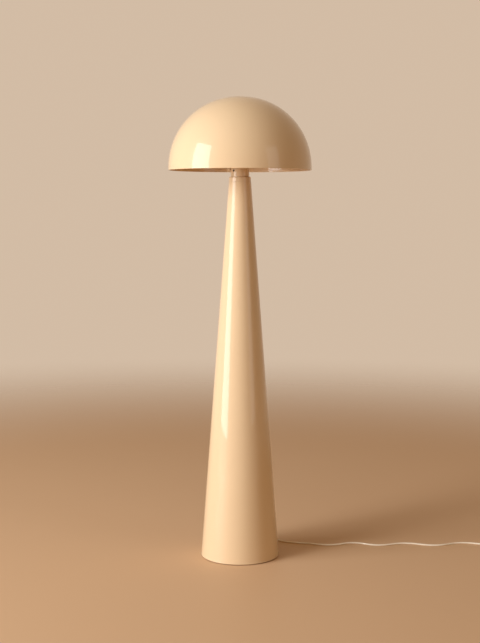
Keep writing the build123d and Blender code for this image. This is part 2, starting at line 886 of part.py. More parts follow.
def biarc(start, start_way, end, end_way):
    """Two arcs that join two points and follow a direction at each."""
    span = end - start
    both = start_way + end_way
    bend = 2 * (1 - start_way.dot(end_way))
    if bend < 1e-6:
        reach = span.dot(span) / (4 * span.dot(end_way))
    else:
        reach = (math.sqrt(span.dot(both) ** 2 + bend * span.dot(span)) - span.dot(both)) / bend
    middle = (start + end + (start_way - end_way) * reach) / 2
    middle_way = (end - end_way * reach) - (start + start_way * reach)
    return [TangentArc(start, middle, tangent=start_way), TangentArc(middle, end, tangent=middle_way)]


def coil_stations():
    """Ends of the coil's half turns with the cord's direction there: spiral in, climb, spiral out."""
    x = coil_centre_x
    y = coil_centre_y - coil_radius
    way = Vector(1, 0, 0)
    stations = [(Vector(x, y, layer_one), way)]
    radii = [coil_radius - step * turn_pitch / 2 for step in range(layer_half_turns + 1)]
    radii += reversed(radii[1:-1])
    for step, radius in enumerate(radii):
        y += 2 * radius * way.X
        way = way * -1
        height = layer_one if step < layer_half_turns else layer_two
        stations.append((Vector(x, y, height), way))
    stations.append((Vector(x + coil_radius, y + coil_radius, layer_two), Vector(0, 1, 0)))
    return stations


def tail_points():
    """The tail's corners: level off the coil, down to the plug's height, and level into the plug."""
    end, way = coil_stations()[-1]
    level = end + way * tail_level
    low = level + way * tail_drop
    low = Vector(low.X, low.Y, plug_axis_height)
    return [end, level, low, low + way * cord_diameter]


def least_gap(path, samples=420):
    """Least distance between the cord's surfaces where the path passes itself."""
    spots = [path.position_at(step / samples) for step in range(samples + 1)]
    spacing = path.length / samples
    apart = math.ceil(4 * cord_diameter / spacing)
    least = math.inf
    for first in range(len(spots)):
        for second in range(first + apart, len(spots)):
            least = min(least, (spots[first] - spots[second]).length)
    return least - cord_diameter


def make_cord_coil():
    """The put-away length: one unbroken tube, three turns in, a climb, three turns out, and a tail."""
    stations = coil_stations()
    start, way = stations[0]
    edges = [Line(start - way * cord_diameter, start)]
    for (here, here_way), (there, there_way) in zip(stations, stations[1:]):
        edges += biarc(here, here_way, there, there_way)
    tail_way = stations[-1][1]
    end, level, low, plug_end = tail_points()
    edges.append(Line(end, level))
    edges += biarc(level, tail_way, low, tail_way)
    edges.append(Line(low, plug_end))
    path = Wire(edges)
    coil = swept_cord(path)
    expected = math.pi * cord_radius**2 * path.length
    print("coil length", round(path.length, 1), "volume ratio", round(coil.volume / expected, 5))
    print("coil least gap to itself", round(least_gap(path), 2), "tightest turn", round(inner_turn, 1))
    return coil


def make_coil_tie():
    """Flat strap round the turns on the coil's left side."""
    sag = inner_turn - math.sqrt(inner_turn**2 - (tie_width / 2 + turn_pitch / 2) ** 2)
    inner_x = coil_centre_x - (inner_turn + turn_pitch / 2 - cord_radius - sag - seat)
    outer_x = coil_centre_x - (coil_radius - turn_pitch / 2 + cord_radius + seat)
    low = layer_one - cord_radius - seat
    high = layer_two + cord_radius + seat
    middle = ((inner_x + outer_x) / 2, coil_centre_y, (low + high) / 2)
    width, height = inner_x - outer_x, high - low
    hole = RectangleRounded(width, height, cord_radius)
    band = RectangleRounded(
        width + 2 * tie_thickness, height + 2 * tie_thickness, cord_radius + tie_thickness
    )
    return Pos(*middle) * extrude(Plane.XZ * (band - hole), tie_width / 2, both=True)


def make_plug_body():
    """Flat two-pin plug body with a waisted back and a short boot, lying on its side face."""
    entry = tail_points()[-1]
    body_start = plug_boot_length
    face = body_start + plug_depth
    outline = Polyline(
        (-plug_back_width / 2, body_start),
        (-plug_width / 2, body_start + plug_taper),
        (-plug_width / 2, face),
        (plug_width / 2, face),
        (plug_width / 2, body_start + plug_taper),
        (plug_back_width / 2, body_start),
        close=True,
    )
    body = extrude(make_face(outline), plug_thickness / 2, both=True)
    body = fillet(body.edges().filter_by(Axis.Z), plug_corner)
    sides = body.faces().sort_by(Axis.Z)
    body = fillet(sides[-1].edges() + sides[0].edges(), plug_rounding)
    boot = Rot(-90, 0, 0) * cone_rod(plug_boot_tip_radius, plug_boot_radius, 0, body_start + through)
    root = rod(pin_root_radius + slip, face - pin_root, face + through)
    roots = [Pos(side * pin_spacing / 2, 0, 0) * (Rot(-90, 0, 0) * root) for side in (-1, 1)]
    return Pos(entry.X, entry.Y, entry.Z) * (body + boot - roots)


def make_plug_pins():
    """Two round pins with rounded ends, set into the plug's face."""
    entry = tail_points()[-1]
    face = plug_boot_length + plug_depth
    pin = rod(pin_radius, face, face + pin_length)
    pin = fillet(pin.edges().group_by(Axis.Z)[-1], pin_rounding)
    pin += rod(pin_root_radius, face - pin_root + slip, face)
    pin = Rot(-90, 0, 0) * pin
    return [Pos(entry.X + side * pin_spacing / 2, entry.Y, entry.Z) * pin for side in (-1, 1)]


nodes = {
    "stem_cone": make_stem_cone,
    "base_ring": make_base_ring,
    "base_plate": make_base_plate,
    "plate_screws": make_plate_screws,
    "ballast": make_ballast,
    "ballast_bolts": make_ballast_bolts,
    "foot_ring": make_foot_ring,
    "cord_boot": make_cord_boot,
    "inner_cord": make_inner_cord,
    "cord_clamp": make_cord_clamp,
    "clamp_screws": make_clamp_screws,
    "top_cap": make_top_cap,
    "nipple": make_nipple,
    "nipple_nuts": make_nipple_nuts,
    "nipple_washer": make_nipple_washer,
    "holder_cup": make_holder_cup,
    "cup_screw": make_cup_screw,
    "holder_base": make_holder_base,
    "switch_bush": make_switch_bush,
    "knob_shaft": make_knob_shaft,
    "switch_knob": make_switch_knob,
    "holder_shell": make_holder_shell,
    "contact_block": make_contact_block,
    "screw_shell": make_screw_shell,
    "centre_contact": make_centre_contact,
    "shade_carrier": make_shade_carrier,
    "carrier_studs": make_carrier_studs,
    "carrier_pads": make_carrier_pads,
    "shade_ring": make_shade_ring,
    "shade_dome": make_shade_dome,
    "shade_brackets": make_shade_brackets,
    "bulb_glass": make_bulb_glass,
    "bulb_cap": make_bulb_cap,
    "bulb_insulator": make_bulb_insulator,
    "bulb_contact": make_bulb_contact,
    "floor_cord": make_floor_cord,
    "cord_coil": make_cord_coil,
    "coil_tie": make_coil_tie,
    "plug_body": make_plug_body,
    "plug_pins": make_plug_pins,
}

os.makedirs("parts", exist_ok=True)
for name, make in nodes.items():
    made = make()
    pieces = made if isinstance(made, list) else [made]
    solids = [solid for piece in pieces for solid in piece.solids()]
    shape = solids[0] if len(solids) == 1 else Compound(children=solids)
    export_step(shape, f"parts/{name}.step")
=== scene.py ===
import json
import math

import bmesh
import bpy
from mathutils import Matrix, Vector


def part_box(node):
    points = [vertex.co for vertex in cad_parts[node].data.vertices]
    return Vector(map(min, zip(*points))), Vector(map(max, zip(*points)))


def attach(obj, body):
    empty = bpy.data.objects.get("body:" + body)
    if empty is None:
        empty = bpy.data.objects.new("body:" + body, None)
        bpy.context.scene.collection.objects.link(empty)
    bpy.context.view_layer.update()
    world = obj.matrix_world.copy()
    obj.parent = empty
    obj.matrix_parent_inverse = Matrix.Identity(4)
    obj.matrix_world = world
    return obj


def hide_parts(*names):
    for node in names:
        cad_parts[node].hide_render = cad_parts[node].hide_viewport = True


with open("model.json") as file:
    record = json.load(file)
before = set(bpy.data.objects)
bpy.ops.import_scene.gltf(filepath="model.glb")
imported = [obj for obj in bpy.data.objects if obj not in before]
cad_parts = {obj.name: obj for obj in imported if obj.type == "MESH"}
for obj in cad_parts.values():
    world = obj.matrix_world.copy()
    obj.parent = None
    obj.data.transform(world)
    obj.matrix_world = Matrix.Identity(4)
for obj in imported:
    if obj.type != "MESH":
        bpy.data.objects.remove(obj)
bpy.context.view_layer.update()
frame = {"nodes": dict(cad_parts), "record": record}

nodes = frame["nodes"]
near = 0.0001  # what lies this near to a line, in metres, counts as on it
print("frame loaded,", len(nodes), "nodes")


# small helpers for modelling
def clearSelection():
    if bpy.context.object and bpy.context.object.mode != "OBJECT":
        bpy.ops.object.mode_set(mode="OBJECT")
    bpy.ops.object.select_all(action="DESELECT")


def makeActive(piece):
    clearSelection()
    piece.select_set(True)
    bpy.context.view_layer.objects.active = piece


def openMesh(piece):
    # into edit mode, with all of the piece selected
    makeActive(piece)
    bpy.ops.object.mode_set(mode="EDIT")
    bpy.ops.mesh.select_all(action="SELECT")


def closeMesh():
    bpy.ops.object.mode_set(mode="OBJECT")


def applyPlace(piece):
    # place, turn and scale go into the mesh
    makeActive(piece)
    bpy.ops.object.transform_apply(location=True, rotation=True, scale=True)


def startPiece(name):
    piece = bpy.context.object
    piece.name = name
    piece.data.name = name
    return piece


def pick(piece, kind, test):
    # in edit mode: selects the verts, edges or faces whose middle passes the test
    bpy.ops.mesh.select_all(action="DESELECT")
    bpy.ops.mesh.select_mode(type={"verts": "VERT", "edges": "EDGE", "faces": "FACE"}[kind])
    mesh = bmesh.from_edit_mesh(piece.data)
    for part in getattr(mesh, kind):
        corners = [part] if kind == "verts" else part.verts
        middle = sum((piece.matrix_world @ corner.co for corner in corners), Vector()) / len(corners)
        part.select_set(bool(test(part, middle)))
    mesh.select_flush_mode()
    bmesh.update_edit_mesh(piece.data)


def useModifier(piece, kind, **settings):
    makeActive(piece)
    bpy.ops.object.modifier_add(type=kind)
    modifier = piece.modifiers[-1]
    for setting, value in settings.items():
        setattr(modifier, setting, value)
    bpy.ops.object.modifier_apply(modifier=modifier.name)


def settle(piece, sharp):
    # edges over the angle stay sharp
    applyPlace(piece)
    bpy.ops.object.shade_smooth_by_angle(angle=math.radians(sharp))
    useModifier(piece, "WEIGHTED_NORMAL", keep_sharp=True)  # broad faces stay true beside small roundings


def softenEdges(piece, width, segments, angle):
    # rounds the edges that turn by more than the angle
    limit = math.radians(angle)
    useModifier(piece, "BEVEL", width=width, segments=segments, limit_method="ANGLE", angle_limit=limit)


def giveWall(piece, wall, offset=-1):
    # thickens a sheet evenly: inwards at -1, to both sides at 0
    useModifier(piece, "SOLIDIFY", thickness=wall, offset=offset, use_even_offset=True)


def arcPoints(centre, radius, start, end, steps):
    # points of an arc in (radius, height), angles in degrees from outwards to upwards
    turns = [math.radians(start + (end - start) * step / steps) for step in range(steps + 1)]
    return [(centre[0] + radius * math.cos(turn), centre[1] + radius * math.sin(turn)) for turn in turns]


def pullRing(ring, goal):
    # carries the selected ring on to another radius and height
    bpy.ops.mesh.extrude_region_move(TRANSFORM_OT_translate={"value": (0, 0, goal[1] - ring[1])})
    ratio = goal[0] / ring[0]
    bpy.ops.transform.resize(value=(ratio, ratio, 1), center_override=(0, 0, goal[1]))


def closeRing(height, goal):
    # ends the selected ring in one point on the axis
    bpy.ops.mesh.extrude_region_move(TRANSFORM_OT_translate={"value": (0, 0, goal - height)})
    bpy.ops.mesh.merge(type="CENTER")


def turned(name, profile, around=96):
    # a circle pulled ring by ring along (radius, height) points; an end on the axis is closed
    rings = [point for point in profile if point[0] > 0]
    clearSelection()
    bpy.ops.mesh.primitive_circle_add(vertices=around, radius=rings[0][0], location=(0, 0, rings[0][1]))
    piece = startPiece(name)
    bpy.ops.object.mode_set(mode="EDIT")
    for ring, goal in zip(rings, rings[1:]):
        pullRing(ring, goal)
    if profile[-1][0] == 0:
        closeRing(rings[-1][1], profile[-1][1])
    if profile[0][0] == 0:
        bpy.ops.mesh.select_mode(type="EDGE")
        bpy.ops.mesh.select_all(action="DESELECT")
        bpy.ops.mesh.select_non_manifold()
        closeRing(rings[0][1], profile[0][1])
    bpy.ops.mesh.select_all(action="SELECT")
    bpy.ops.mesh.remove_doubles(threshold=near / 10)
    bpy.ops.mesh.normals_make_consistent(inside=False)
    closeMesh()
    applyPlace(piece)
    return piece


def turnedRing(name, profile, around=96):
    # the same for a profile that closes on itself, clear of the axis
    return turned(name, [*profile, profile[0]], around)


def fluted(piece, count, depth, spread, test):
    # presses flutes into a turned piece: whole columns of points are scaled towards the axis
    openMesh(piece)
    pitch = 2 * math.pi / count
    for share, reach in spread:
        def onColumn(part, middle):
            turn = (math.atan2(middle.y, middle.x) + pitch / 2) % pitch - pitch / 2
            return test(middle) and abs(abs(turn) - reach * pitch) < 0.001  # in radians
        pick(piece, "verts", onColumn)
        ratio = 1 - share * depth
        bpy.ops.transform.resize(value=(ratio, ratio, 1), center_override=(0, 0, 0))
    closeMesh()


def pulledLine(name, path, y=0.0):
    # one point pulled along (x, z) places, left in edit mode
    clearSelection()
    bpy.ops.mesh.primitive_plane_add(size=0.001, location=(path[0][0], y, path[0][1]))
    piece = startPiece(name)
    bpy.ops.object.mode_set(mode="EDIT")
    bpy.ops.mesh.select_mode(type="VERT")
    bpy.ops.mesh.select_all(action="SELECT")
    bpy.ops.mesh.merge(type="CENTER")
    for point, goal in zip(path, path[1:]):
        step = (goal[0] - point[0], 0, goal[1] - point[1])
        bpy.ops.mesh.extrude_vertices_move(TRANSFORM_OT_translate={"value": step})
    return piece


def wound(name, profile, pitch, turns, steps):
    # a profile of one pitch wound round the axis, as a thread
    piece = pulledLine(name, profile)
    closeMesh()
    applyPlace(piece)
    useModifier(
        piece, "SCREW", axis="Z", angle=2 * math.pi, screw_offset=pitch, iterations=turns,
        steps=steps, render_steps=steps, use_merge_vertices=True, merge_threshold=near / 10,
    )
    return piece


def trim(piece, height, above):
    # cuts the piece level at a height and drops one side
    openMesh(piece)
    bpy.ops.mesh.bisect(
        plane_co=(0, 0, height), plane_no=(0, 0, 1), clear_outer=above, clear_inner=not above,
        use_fill=False,
    )
    closeMesh()


def clearSlivers(piece):
    # takes out the faces without area that a union leaves
    openMesh(piece)
    bpy.ops.mesh.dissolve_degenerate(threshold=near / 25)
    closeMesh()


def thicken(piece, wall, offset):
    # an open sheet, its doubles merged and its faces turned outwards, given a wall
    openMesh(piece)
    bpy.ops.mesh.remove_doubles(threshold=near / 5)
    bpy.ops.mesh.select_all(action="SELECT")
    bpy.ops.mesh.normals_make_consistent(inside=False)
    closeMesh()
    useModifier(piece, "SOLIDIFY", thickness=wall, offset=offset)


def combine(piece, other, operation):
    useModifier(piece, "BOOLEAN", operation=operation, object=other, solver="EXACT")
    bpy.data.objects.remove(other)


def drill(piece, radius, start, end):
    # a round hole from one point to another
    start, end = Vector(start), Vector(end)
    clearSelection()
    bpy.ops.mesh.primitive_cylinder_add(
        vertices=32, radius=radius, depth=(end - start).length, location=(start + end) / 2,
        rotation=(end - start).to_track_quat("Z", "Y").to_euler(),
    )
    combine(piece, bpy.context.object, "DIFFERENCE")


def turnedCopy(piece, name, angle):
    # a copy with its own mesh, turned about the lamp's axis
    copy = piece.copy()
    copy.data = piece.data.copy()
    copy.name = name
    bpy.context.scene.collection.objects.link(copy)
    copy.rotation_euler.z = math.radians(angle)
    applyPlace(copy)
    return copy


def joinPieces(name, *pieces):
    makeActive(pieces[0])
    for piece in pieces[1:]:
        piece.select_set(True)
    bpy.ops.object.join()
    return startPiece(name)


def roundTheAxis(piece, name, count, first=0.0):
    # copies of a piece at equal turns about the lamp's axis, joined
    applyPlace(piece)
    copies = [turnedCopy(piece, f"{name}{step}", first + 360 * step / count) for step in range(count)]
    bpy.data.objects.remove(piece)
    return joinPieces(name, *copies)


def middleHeight(node):
    low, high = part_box(node)
    return (low.z + high.z) / 2


def outwards(angle, reach, height):
    turn = math.radians(angle)
    return Vector((reach * math.cos(turn), reach * math.sin(turn), height))


def aim(piece, place, direction):
    # stands an upright piece at a place, with its own Z along a direction
    piece.location = place
    piece.rotation_euler = Vector(direction).to_track_quat("Z", "Y").to_euler()
    return piece


def roundedPath(corners, radius, steps=6):
    # a path in (x, z) whose inner corners are arcs of so many steps
    corners = [Vector(corner) for corner in corners]
    path = [corners[0]]
    for before, corner, after in zip(corners, corners[1:], corners[2:]):
        back, onward = (before - corner).normalized(), (after - corner).normalized()
        half = back.angle(onward) / 2
        centre = corner + (back + onward).normalized() * radius / math.sin(half)
        start = corner + back * radius / math.tan(half)
        end = corner + onward * radius / math.tan(half)
        for step in range(steps + 1):
            path.append(centre + (start.lerp(end, step / steps) - centre).normalized() * radius)
    path.append(corners[-1])
    return path


def strip(name, path, columns):
    # an open sheet: a line pulled along (x, z), widened column by column in y
    piece = pulledLine(name, path, columns[0])
    bpy.ops.mesh.select_all(action="SELECT")
    for column, goal in zip(columns, columns[1:]):
        bpy.ops.mesh.extrude_edges_move(TRANSFORM_OT_translate={"value": (0, goal - column, 0)})
    bpy.ops.mesh.select_all(action="SELECT")
    bpy.ops.mesh.normals_make_consistent(inside=False)
    closeMesh()
    applyPlace(piece)
    return piece


def threadWave(valley, crest, pitch, count=10):
    # one pitch of a rounded thread
    middle, swing = (valley + crest) / 2, (crest - valley) / 2
    shares = [step / count for step in range(count + 1)]
    return [(middle + swing * math.cos(2 * math.pi * share), pitch * share) for share in shares]


# materials
class Finish:
    # one procedural material: a shader, object coordinates, and textures that feed it
    def __init__(self, name, colour, roughness, **sockets):
        self.material = bpy.data.materials.new(name)
        self.material.use_nodes = True
        self.tree = self.material.node_tree
        self.shader = self.tree.nodes["Principled BSDF"]
        self.coordinates = self.tree.nodes.new("ShaderNodeTexCoord")
        self.shader.inputs["Base Color"].default_value = (*colour, 1)
        self.shader.inputs["Roughness"].default_value = roughness
        self.material.diffuse_color = (*colour, 1)
        self.colour = colour
        self.roughness = roughness
        for socket, value in sockets.items():
            self.shader.inputs[socket.replace("_", " ")].default_value = value

    def node(self, kind, **settings):
        made = self.tree.nodes.new(kind)
        for setting, value in settings.items():
            setattr(made, setting, value)
        return made

    def link(self, output, target):
        self.tree.links.new(output, target)

    def mapped(self, scale):
        mapping = self.node("ShaderNodeMapping")
        mapping.inputs["Scale"].default_value = scale
        self.link(self.coordinates.outputs["Object"], mapping.inputs["Vector"])
        return mapping.outputs["Vector"]

    def noise(self, scale, detail, stretch=(1, 1, 1)):
        texture = self.node("ShaderNodeTexNoise")
        texture.inputs["Scale"].default_value = scale
        texture.inputs["Detail"].default_value = detail
        self.link(self.mapped(stretch), texture.inputs["Vector"])
        return texture.outputs["Fac"]

    def cells(self, scale):
        texture = self.node("ShaderNodeTexVoronoi")
        texture.inputs["Scale"].default_value = scale
        self.link(self.mapped((1, 1, 1)), texture.inputs["Vector"])
        return texture.outputs["Distance"]

    def ranged(self, source, low, high):
        # eases a texture's whole range from low to high, with no clamped patches
        ramp = self.node("ShaderNodeMapRange", interpolation_type="SMOOTHSTEP")
        ramp.inputs["To Min"].default_value = low
        ramp.inputs["To Max"].default_value = high
        self.link(source, ramp.inputs["Value"])
        return ramp.outputs["Result"]

    def mottle(self, source, colour):
        # wanders between the base colour and a second one
        mix = self.node("ShaderNodeMix", data_type="RGBA")
        mix.inputs["A"].default_value = (*self.colour, 1)
        mix.inputs["B"].default_value = (*colour, 1)
        self.link(self.ranged(source, 0.0, 1.0), mix.inputs["Factor"])
        self.link(mix.outputs["Result"], self.shader.inputs["Base Color"])

    def polish(self, source, spread):
        swing = self.ranged(source, self.roughness - spread, self.roughness + spread)
        self.link(swing, self.shader.inputs["Roughness"])

    def bump(self, source, strength, depth):
        bump = self.node("ShaderNodeBump")
        bump.inputs["Strength"].default_value = strength
        bump.inputs["Distance"].default_value = depth
        self.link(source, bump.inputs["Height"])
        self.link(bump.outputs["Normal"], self.shader.inputs["Normal"])


def enamelFinish():
    look = {"cream": (0.828, 0.642, 0.420), "warmer": (0.816, 0.626, 0.406), "roughness": 0.30}
    finish = Finish(
        "creamEnamel", look["cream"], look["roughness"],
        Coat_Weight=0.7, Coat_Roughness=0.03, Specular_IOR_Level=0.2,
    )
    finish.mottle(finish.noise(scale=6, detail=3), look["warmer"])
    finish.polish(finish.noise(scale=45, detail=2), spread=0.03)
    finish.bump(finish.noise(scale=260, detail=1), strength=0.05, depth=0.0004)  # a trace of orange peel
    return finish.material


def carrierFinish():
    look = {"cream": (0.840, 0.650, 0.420), "dull": (0.780, 0.600, 0.385), "roughness": 0.45}
    finish = Finish("satinPowderCoat", look["cream"], look["roughness"])
    finish.mottle(finish.noise(scale=60, detail=3), look["dull"])
    finish.polish(finish.noise(scale=300, detail=2), spread=0.06)
    finish.bump(finish.noise(scale=1400, detail=2), strength=0.15, depth=0.0002)
    return finish.material


def steelFinish(name, colour, darker, roughness, grain=(1, 1, 1)):
    finish = Finish(name, colour, roughness, Metallic=1.0)
    finish.mottle(finish.noise(scale=160, detail=2, stretch=grain), darker)
    finish.polish(finish.noise(scale=220, detail=3, stretch=grain), spread=0.09)
    finish.bump(finish.noise(scale=900, detail=3, stretch=grain), strength=0.10, depth=0.0001)
    return finish.material


def castFinish():
    finish = Finish("primedCastIron", (0.030, 0.030, 0.033), 0.62)
    finish.mottle(finish.noise(scale=90, detail=5), (0.055, 0.052, 0.050))
    finish.polish(finish.noise(scale=150, detail=3), spread=0.10)
    finish.bump(finish.noise(scale=500, detail=6), strength=0.6, depth=0.0008)
    return finish.material


def mouldedFinish(name, colour, darker, roughness, grain=1800.0, depth=0.00012, **sockets):
    finish = Finish(name, colour, roughness, **sockets)
    finish.mottle(finish.noise(scale=50, detail=3), darker)
    finish.polish(finish.noise(scale=180, detail=2), spread=0.05)
    finish.bump(finish.noise(scale=grain, detail=2), strength=0.12, depth=depth)
    return finish.material


def foamFinish():
    finish = Finish("cellFoam", (0.020, 0.019, 0.018), 0.92)
    finish.mottle(finish.cells(scale=700), (0.045, 0.043, 0.040))
    finish.bump(finish.cells(scale=900), strength=0.7, depth=0.0005)
    return finish.material


def strapFinish():
    # hooks and loops: a fine cell pattern
    finish = Finish("wovenStrap", (0.018, 0.018, 0.019), 0.85, Sheen_Weight=0.35, Sheen_Roughness=0.5)
    finish.mottle(finish.cells(scale=1500), (0.050, 0.050, 0.052))
    finish.bump(finish.cells(scale=1300), strength=0.9, depth=0.0004)
    return finish.material


def glassFinish():
    # faintly see-through, with light that scatters under its surface
    finish = Finish(
        "opalGlass", (0.93, 0.92, 0.89), 0.16, Transmission_Weight=0.12, Subsurface_Weight=0.25,
        Subsurface_Scale=0.004, Coat_Weight=0.3, Coat_Roughness=0.05,
    )
    finish.mottle(finish.noise(scale=40, detail=2), (0.90, 0.88, 0.84))
    finish.polish(finish.noise(scale=120, detail=2), spread=0.03)
    return finish.material


# each: name, colour, second colour, roughness, then what differs from the usual grain
finishes = {
    "enamel": enamelFinish(),
    "carrier_steel": carrierFinish(),
    "bare_steel": steelFinish("millSteel", (0.42, 0.41, 0.40), (0.30, 0.29, 0.28), 0.42, (1, 1, 6)),
    "zinc_steel": steelFinish("zincPlate", (0.60, 0.61, 0.63), (0.56, 0.57, 0.59), 0.33),
    "black_steel": steelFinish("blackOxide", (0.085, 0.060, 0.042), (0.120, 0.088, 0.063), 0.42),
    "cast_iron": castFinish(),
    "foot_rubber": foamFinish(),
    "cord_white": mouldedFinish(
        "cordJacket", (0.970, 0.915, 0.790), (0.955, 0.895, 0.765), 0.20, 900,
        Coat_Weight=1.0, Coat_Roughness=0.08,
    ),
    "tie_black": strapFinish(),
    "plug_white": mouldedFinish("plugPlastic", (0.86, 0.81, 0.74), (0.83, 0.77, 0.69), 0.36),
    "plug_nickel": steelFinish("pinNickel", (0.72, 0.68, 0.62), (0.64, 0.60, 0.54), 0.20, (1, 4, 1)),
    "clamp_plastic": mouldedFinish("naturalNylon", (0.80, 0.77, 0.70), (0.75, 0.72, 0.64), 0.45),
    "holder_plastic": mouldedFinish("holderPlastic", (0.83, 0.70, 0.52), (0.79, 0.655, 0.475), 0.40),
    "knob_plastic": mouldedFinish(
        "knobPlastic", (0.84, 0.66, 0.44), (0.80, 0.62, 0.40), 0.26, Coat_Weight=0.3
    ),
    "brass": steelFinish("drawnBrass", (0.72, 0.50, 0.20), (0.60, 0.41, 0.16), 0.28),
    "porcelain": mouldedFinish(
        "porcelain", (0.86, 0.85, 0.81), (0.80, 0.79, 0.75), 0.18, 400, Coat_Weight=0.6
    ),
    "pad_silicone": mouldedFinish("softSilicone", (0.78, 0.76, 0.71), (0.70, 0.68, 0.63), 0.50, 600),
    "opal_glass": glassFinish(),
    "bulb_nickel": steelFinish("rolledCap", (0.66, 0.66, 0.66), (0.56, 0.56, 0.56), 0.24),
    "black_glass": mouldedFinish(
        "vitrite", (0.012, 0.012, 0.013), (0.020, 0.019, 0.018), 0.12, 300, Coat_Weight=0.5
    ),
}
print("materials made,", len(finishes))


def dress(piece, slotName, body, *replaced):
    # its finish, the body that it rides on and the CAD nodes that it stands for
    piece.data.materials.clear()
    piece.data.materials.append(finishes[slotName])
    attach(piece, body)
    if replaced:
        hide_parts(*replaced)
    return piece


def finished(piece, slotName, body, *replaced, sharp):
    # edges over the sharp angle, in degrees, stay sharp
    settle(piece, sharp)
    return dress(piece, slotName, body, *replaced)


for entry in frame["record"]["subparts"]:
    node = nodes[entry["node"]]
    node.data.materials.clear()
    node.data.materials.append(finishes[entry["material_slot"]])
print("CAD nodes dressed")


# camera
cameraSet = {
    "place": (0.0, -3.305, 0.9987), "tilt": 5.63, "lens": 65.8, "sensor": 36.0,
    "nearest": 0.05, "farthest": 50,
}
clearSelection()
cameraTurn = (math.radians(90 - cameraSet["tilt"]), 0, 0)
bpy.ops.object.camera_add(location=cameraSet["place"], rotation=cameraTurn)
camera = bpy.context.object
camera.data.lens = cameraSet["lens"]
camera.data.sensor_width = cameraSet["sensor"]
camera.data.clip_start = cameraSet["nearest"]
camera.data.clip_end = cameraSet["farthest"]
bpy.context.scene.camera = camera


# cord: the stretch over the floor, then the put-away coil
cordSet = {
    "diameter": 0.005,
    "length": 2.10,
    "coilCentre": (0.797, 0.126),
    "coilRadius": 0.037,
    "turnPitch": 0.0056,
    "halfTurnsIn": 6,
    "pointsPerHalfTurn": 8,
    "layers": (0.0036, 0.0092),
    "plugHeight": 0.007,
    "tail": (0.006, 0.014, 0.024, 0.033),
}
# the control points of its smooth line: out of the boot, down to the floor and away in low waves
cordRoute = [
    (0, 0.140795, 0.019),
    (0, 0.163, 0.019),
    (0.003, 0.186, 0.011),
    (0.015, 0.206, 0.005),
    (0.037, 0.218, 0.0027),
    (0.062, 0.213, 0.0026),
    (0.080, 0.194, 0.0026),
    (0.091, 0.168, 0.0026),
    (0.104, 0.142, 0.0026),
    (0.128, 0.119, 0.0026),
    (0.162, 0.105, 0.0026),
    (0.204, 0.098, 0.0026),
    (0.243, 0.0825, 0.0026),
    (0.281, 0.0815, 0.0026),
    (0.319, 0.103, 0.0026),
    (0.354, 0.1025, 0.0026),
    (0.389, 0.080, 0.0026),
    (0.427, 0.078, 0.0026),
    (0.466, 0.098, 0.0026),
    (0.507, 0.0985, 0.0026),
    (0.551, 0.0785, 0.0026),
    (0.593, 0.0765, 0.0026),
    (0.639, 0.103, 0.0026),
    (0.682, 0.1025, 0.0026),
    (0.722, 0.084, 0.0027),
    (0.757, 0.089, 0.0036),
    (0.792, 0.089, 0.0036),
]


def coilPoints():
    # half turns in to the middle, one that climbs, half turns out again and a last quarter
    centreX, centreY = cordSet["coilCentre"]
    steps = cordSet["pointsPerHalfTurn"]
    low, high = cordSet["layers"]
    shrink = cordSet["turnPitch"] / 2
    inwards = [cordSet["coilRadius"] - shrink * turn for turn in range(cordSet["halfTurnsIn"] + 1)]
    radii = inwards + inwards[-2:0:-1] + [cordSet["coilRadius"]]
    swell = 1 / math.cos(math.pi / (2 * steps))  # the spline runs inside its points
    points = []
    y = centreY - cordSet["coilRadius"]
    side = 1
    for turn, radius in enumerate(radii):
        middleY = y + side * radius
        count = steps if turn < len(radii) - 1 else steps // 2
        for step in range(count):
            along = (step + 0.5) / steps
            angle = math.pi * (step + 0.5) / steps
            climb = along if turn == cordSet["halfTurnsIn"] else float(turn > cordSet["halfTurnsIn"])
            points.append((
                centreX + side * radius * swell * math.sin(angle),
                middleY - side * radius * swell * math.cos(angle),
                low + (high - low) * climb,
            ))
        y += 2 * side * radius
        side = -side
    return points


def tailPoints():
    # straight from the coil down to the plug
    x = cordSet["coilCentre"][0] + cordSet["coilRadius"]
    y = cordSet["coilCentre"][1]
    high = cordSet["layers"][1]
    low = cordSet["plugHeight"]
    return [(x, y + ahead, z) for ahead, z in zip(cordSet["tail"], (high, high, low, low))]


def makeCord():
    points = cordRoute + coilPoints() + tailPoints()
    curve = bpy.data.curves.new("cord", "CURVE")
    curve.dimensions = "3D"
    curve.resolution_u = 5
    curve.bevel_depth = cordSet["diameter"] / 2
    curve.bevel_resolution = 5
    curve.use_fill_caps = True
    spline = curve.splines.new("NURBS")
    spline.points.add(len(points) - 1)
    for spot, point in zip(spline.points, points):
        spot.co = (*point, 1)
    spline.use_endpoint_u = True
    spline.order_u = 3
    spline.use_smooth = True
    cord = bpy.data.objects.new("cord", curve)
    bpy.context.scene.collection.objects.link(cord)
    return dress(cord, "cord_white", "stand", "floor_cord", "cord_coil")


cord = makeCord()
print("cord laid,", len(cord.data.splines[0].points), "points")


# floor, world and lights
roomSet = {
    "floor": (0.742, 0.508, 0.316),
    "backdrop": (0.650, 0.505, 0.378),
    "ambient": (1.0, 0.53, 0.13),
    "ambientLevel": 0.22,
    "floorRadius": 6.0,
    "fadeStart": 1.5,
    "fadeEnd": 4.5,
    "floorDip": 0.985,
}


